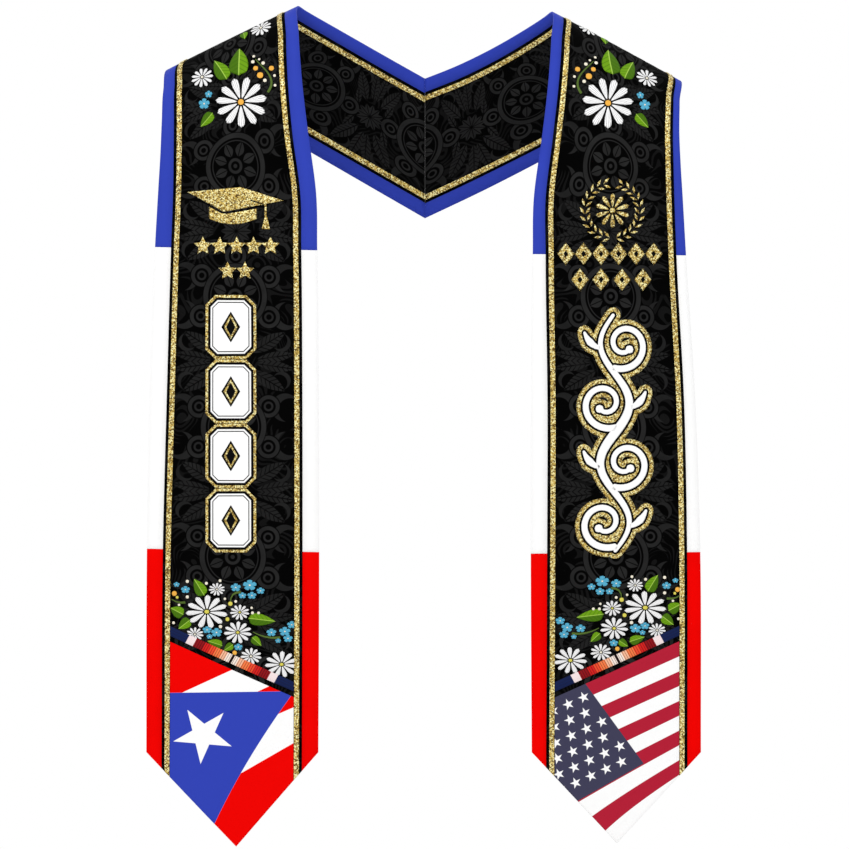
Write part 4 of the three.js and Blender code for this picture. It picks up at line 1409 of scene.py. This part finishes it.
def white_scroll(strip):
    """A waving stem with a spiral tendril and a leaf in each bay, as white bands on black on gold.

    The stem is a sine wave. A tendril's reach shrinks by the same share for each equal part of its turn.
    The black and the gold are the same bands, made wider.
    """
    gathering = Gathering()
    spot = Spot(strip, SCROLL_MIDDLE)
    up = np.linspace(-SCROLL_HALF_LENGTH, SCROLL_HALF_LENGTH, 160)
    bays = int(2 * SCROLL_HALF_LENGTH / SCROLL_BAY)
    paths = [(np.stack([SCROLL_SWAY * np.sin(np.pi * (up + SCROLL_HALF_LENGTH) / SCROLL_BAY), up], axis=-1),
              np.interp(up, [-SCROLL_HALF_LENGTH, 0, SCROLL_HALF_LENGTH], STEM_HALF_WIDTHS))]
    buds = []
    for bay in range(bays):
        way = 1 if bay % 2 == 0 else -1
        middle = np.array([way * CURL_ASIDE_OF_STEM, -SCROLL_HALF_LENGTH + (bay + 0.5) * SCROLL_BAY])
        t = np.linspace(0, 1, 90)
        angle = CURL_LEAD - np.pi / 2 - (CURL_LEAD + 2 * np.pi * CURL_TURNS) * t
        reach = CURL_START * (CURL_END / CURL_START) ** t
        curl = middle + reach[:, None] * np.stack([way * np.cos(angle), np.sin(angle)], axis=-1)
        paths.append((curl, np.linspace(*CURL_HALF_WIDTHS, len(t))))
        buds.append(curl[-1])
        root = np.array([way * SCROLL_SWAY, middle[1] - 4])
        twig = root + curve_through(np.array(SCROLL_LEAF) * (way, 1))
        paths.append((twig, np.interp(np.linspace(0, 1, len(twig)), [0, 0.55, 1], LEAF_HALF_WIDTHS)))
    for row in named(SCROLL_COLUMNS, SCROLL_LAYERS):
        for path, half_widths in paths:
            longer = lengthened(path, row["wider"] + 0.01)
            stroke(gathering, spot, longer, np.pad(half_widths, 1, "edge") + row["wider"], row["lift"],
                   SCROLL_HEIGHT, row["colour"])
        for bud in buds:
            disc(gathering, spot, BUD_RADIUS + row["wider"], row["lift"] + 0.03, SCROLL_HEIGHT,
                 row["colour"], *bud)
    return gathering


def build_motifs(strip):
    """The printed figures of one side, one object for each group, attached to the root."""
    layers = [GOLD, BLACK_PRINT, WHITE_PRINT]
    groups = [(f"{where}_flowers", "white_satin", flowers(strip, where), FLOWER_COLOURS)
              for where in CLUSTERS]
    if strip["name"] == "left":
        groups += [("gold_figures", "gold_glitter", gold_cap(strip), layers),
                   ("white_tiles", "white_satin", white_tiles(strip), layers)]
    else:
        groups += [("gold_figures", "gold_glitter", gold_rosette(strip), layers),
                   ("white_scroll", "white_satin", white_scroll(strip), layers)]
    motifs = []
    for name, slot, gathering, materials in groups:
        motifs.append(gathering.build(f"{strip['name']}_{name}", materials))
        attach(motifs[-1], "root")
    return motifs


# The black cloth of each side is cut from a rectangle: the end width less two bands, by its whole length
STRIPS = [make_strip(name) for name in SIDES]
CLOTHS = [build_cloth(strip) for strip in STRIPS]
for strip, (body, others) in zip(STRIPS, CLOTHS):
    others + build_motifs(strip)


# Stage, light and camera

FLOOR_HEIGHT = -0.76


def stage():
    """A plain pale floor below the hanging ends."""
    x, y = np.meshgrid(np.linspace(-3, 3, 9), np.linspace(-3, 1.2, 7))
    points = np.stack([x, y, np.full(x.shape, FLOOR_HEIGHT)], axis=-1)
    faces = quads(np.arange(x.size).reshape(x.shape))
    pale = Finish("pale floor", roughness=0.9, specular=0.1)
    pale.colour(pale.blend(pale.noise(0.8, 1), "#f0f0ef", "#f4f4f4"))
    mesh_object("pale_floor", points.reshape(-1, 3) / METRES, [faces], [pale.material])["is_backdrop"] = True


def area_light(name, place, aim, size, power):
    """A soft square light at a place, turned to face an aim point."""
    data = bpy.data.lights.new(name, "AREA")
    data.size = size
    data.energy = power
    obj = new_object(name, data)
    obj.location = place
    obj.rotation_euler = (Vector(aim) - Vector(place)).to_track_quat("-Z", "Y").to_euler()


def light():
    """An even white surround, a key light from the left and a small fill for the nape."""
    world = bpy.data.worlds.new("soft room")
    world.use_nodes = True
    world.node_tree.nodes["Background"].inputs["Color"].default_value = (1, 1, 1, 1)
    world.node_tree.nodes["Background"].inputs["Strength"].default_value = 1.0
    bpy.context.scene.world = world
    middle = (0, -0.1, -0.3)
    area_light("key", (-1.8, -3.0, 1.9), middle, 1.6, 14.5)
    area_light("nape fill", (0, -1.0, 0.75), (0, 0, -0.06), 0.5, 1.4)
    bpy.context.scene.view_settings.view_transform = "Standard"


PHOTO_SIZE = 849
CAMERA_DISTANCE = 16.0


def camera():
    """A level camera far in front, framed as the photo is: its middle pixel is the middle of the view.

    The lens is to the sensor's width as the distance is to the width that the photo shows.
    """
    data = bpy.data.cameras.new("camera")
    data.sensor_width = 36.0
    view_width = PHOTO_SIZE * MM_PER_PIXEL * METRES
    data.lens = data.sensor_width * CAMERA_DISTANCE / view_width
    data.clip_end = 100.0
    obj = new_object("camera", data)
    x = (PHOTO_SIZE / 2 - ORIGIN_PX[0]) * MM_PER_PIXEL * METRES
    z = (ORIGIN_PX[1] - PHOTO_SIZE / 2) * MM_PER_PIXEL * METRES
    front = -(CREST_FORWARD + FRONT_REACH) * METRES
    obj.location = (x, front - CAMERA_DISTANCE, z)
    obj.rotation_euler = (np.pi / 2, 0, 0)
    bpy.context.scene.camera = obj


stage()
light()
camera()

boxes = {"cad": CAD_BOX, "visual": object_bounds()}
{name: [list(corner) for corner in box] for name, box in boxes.items()}
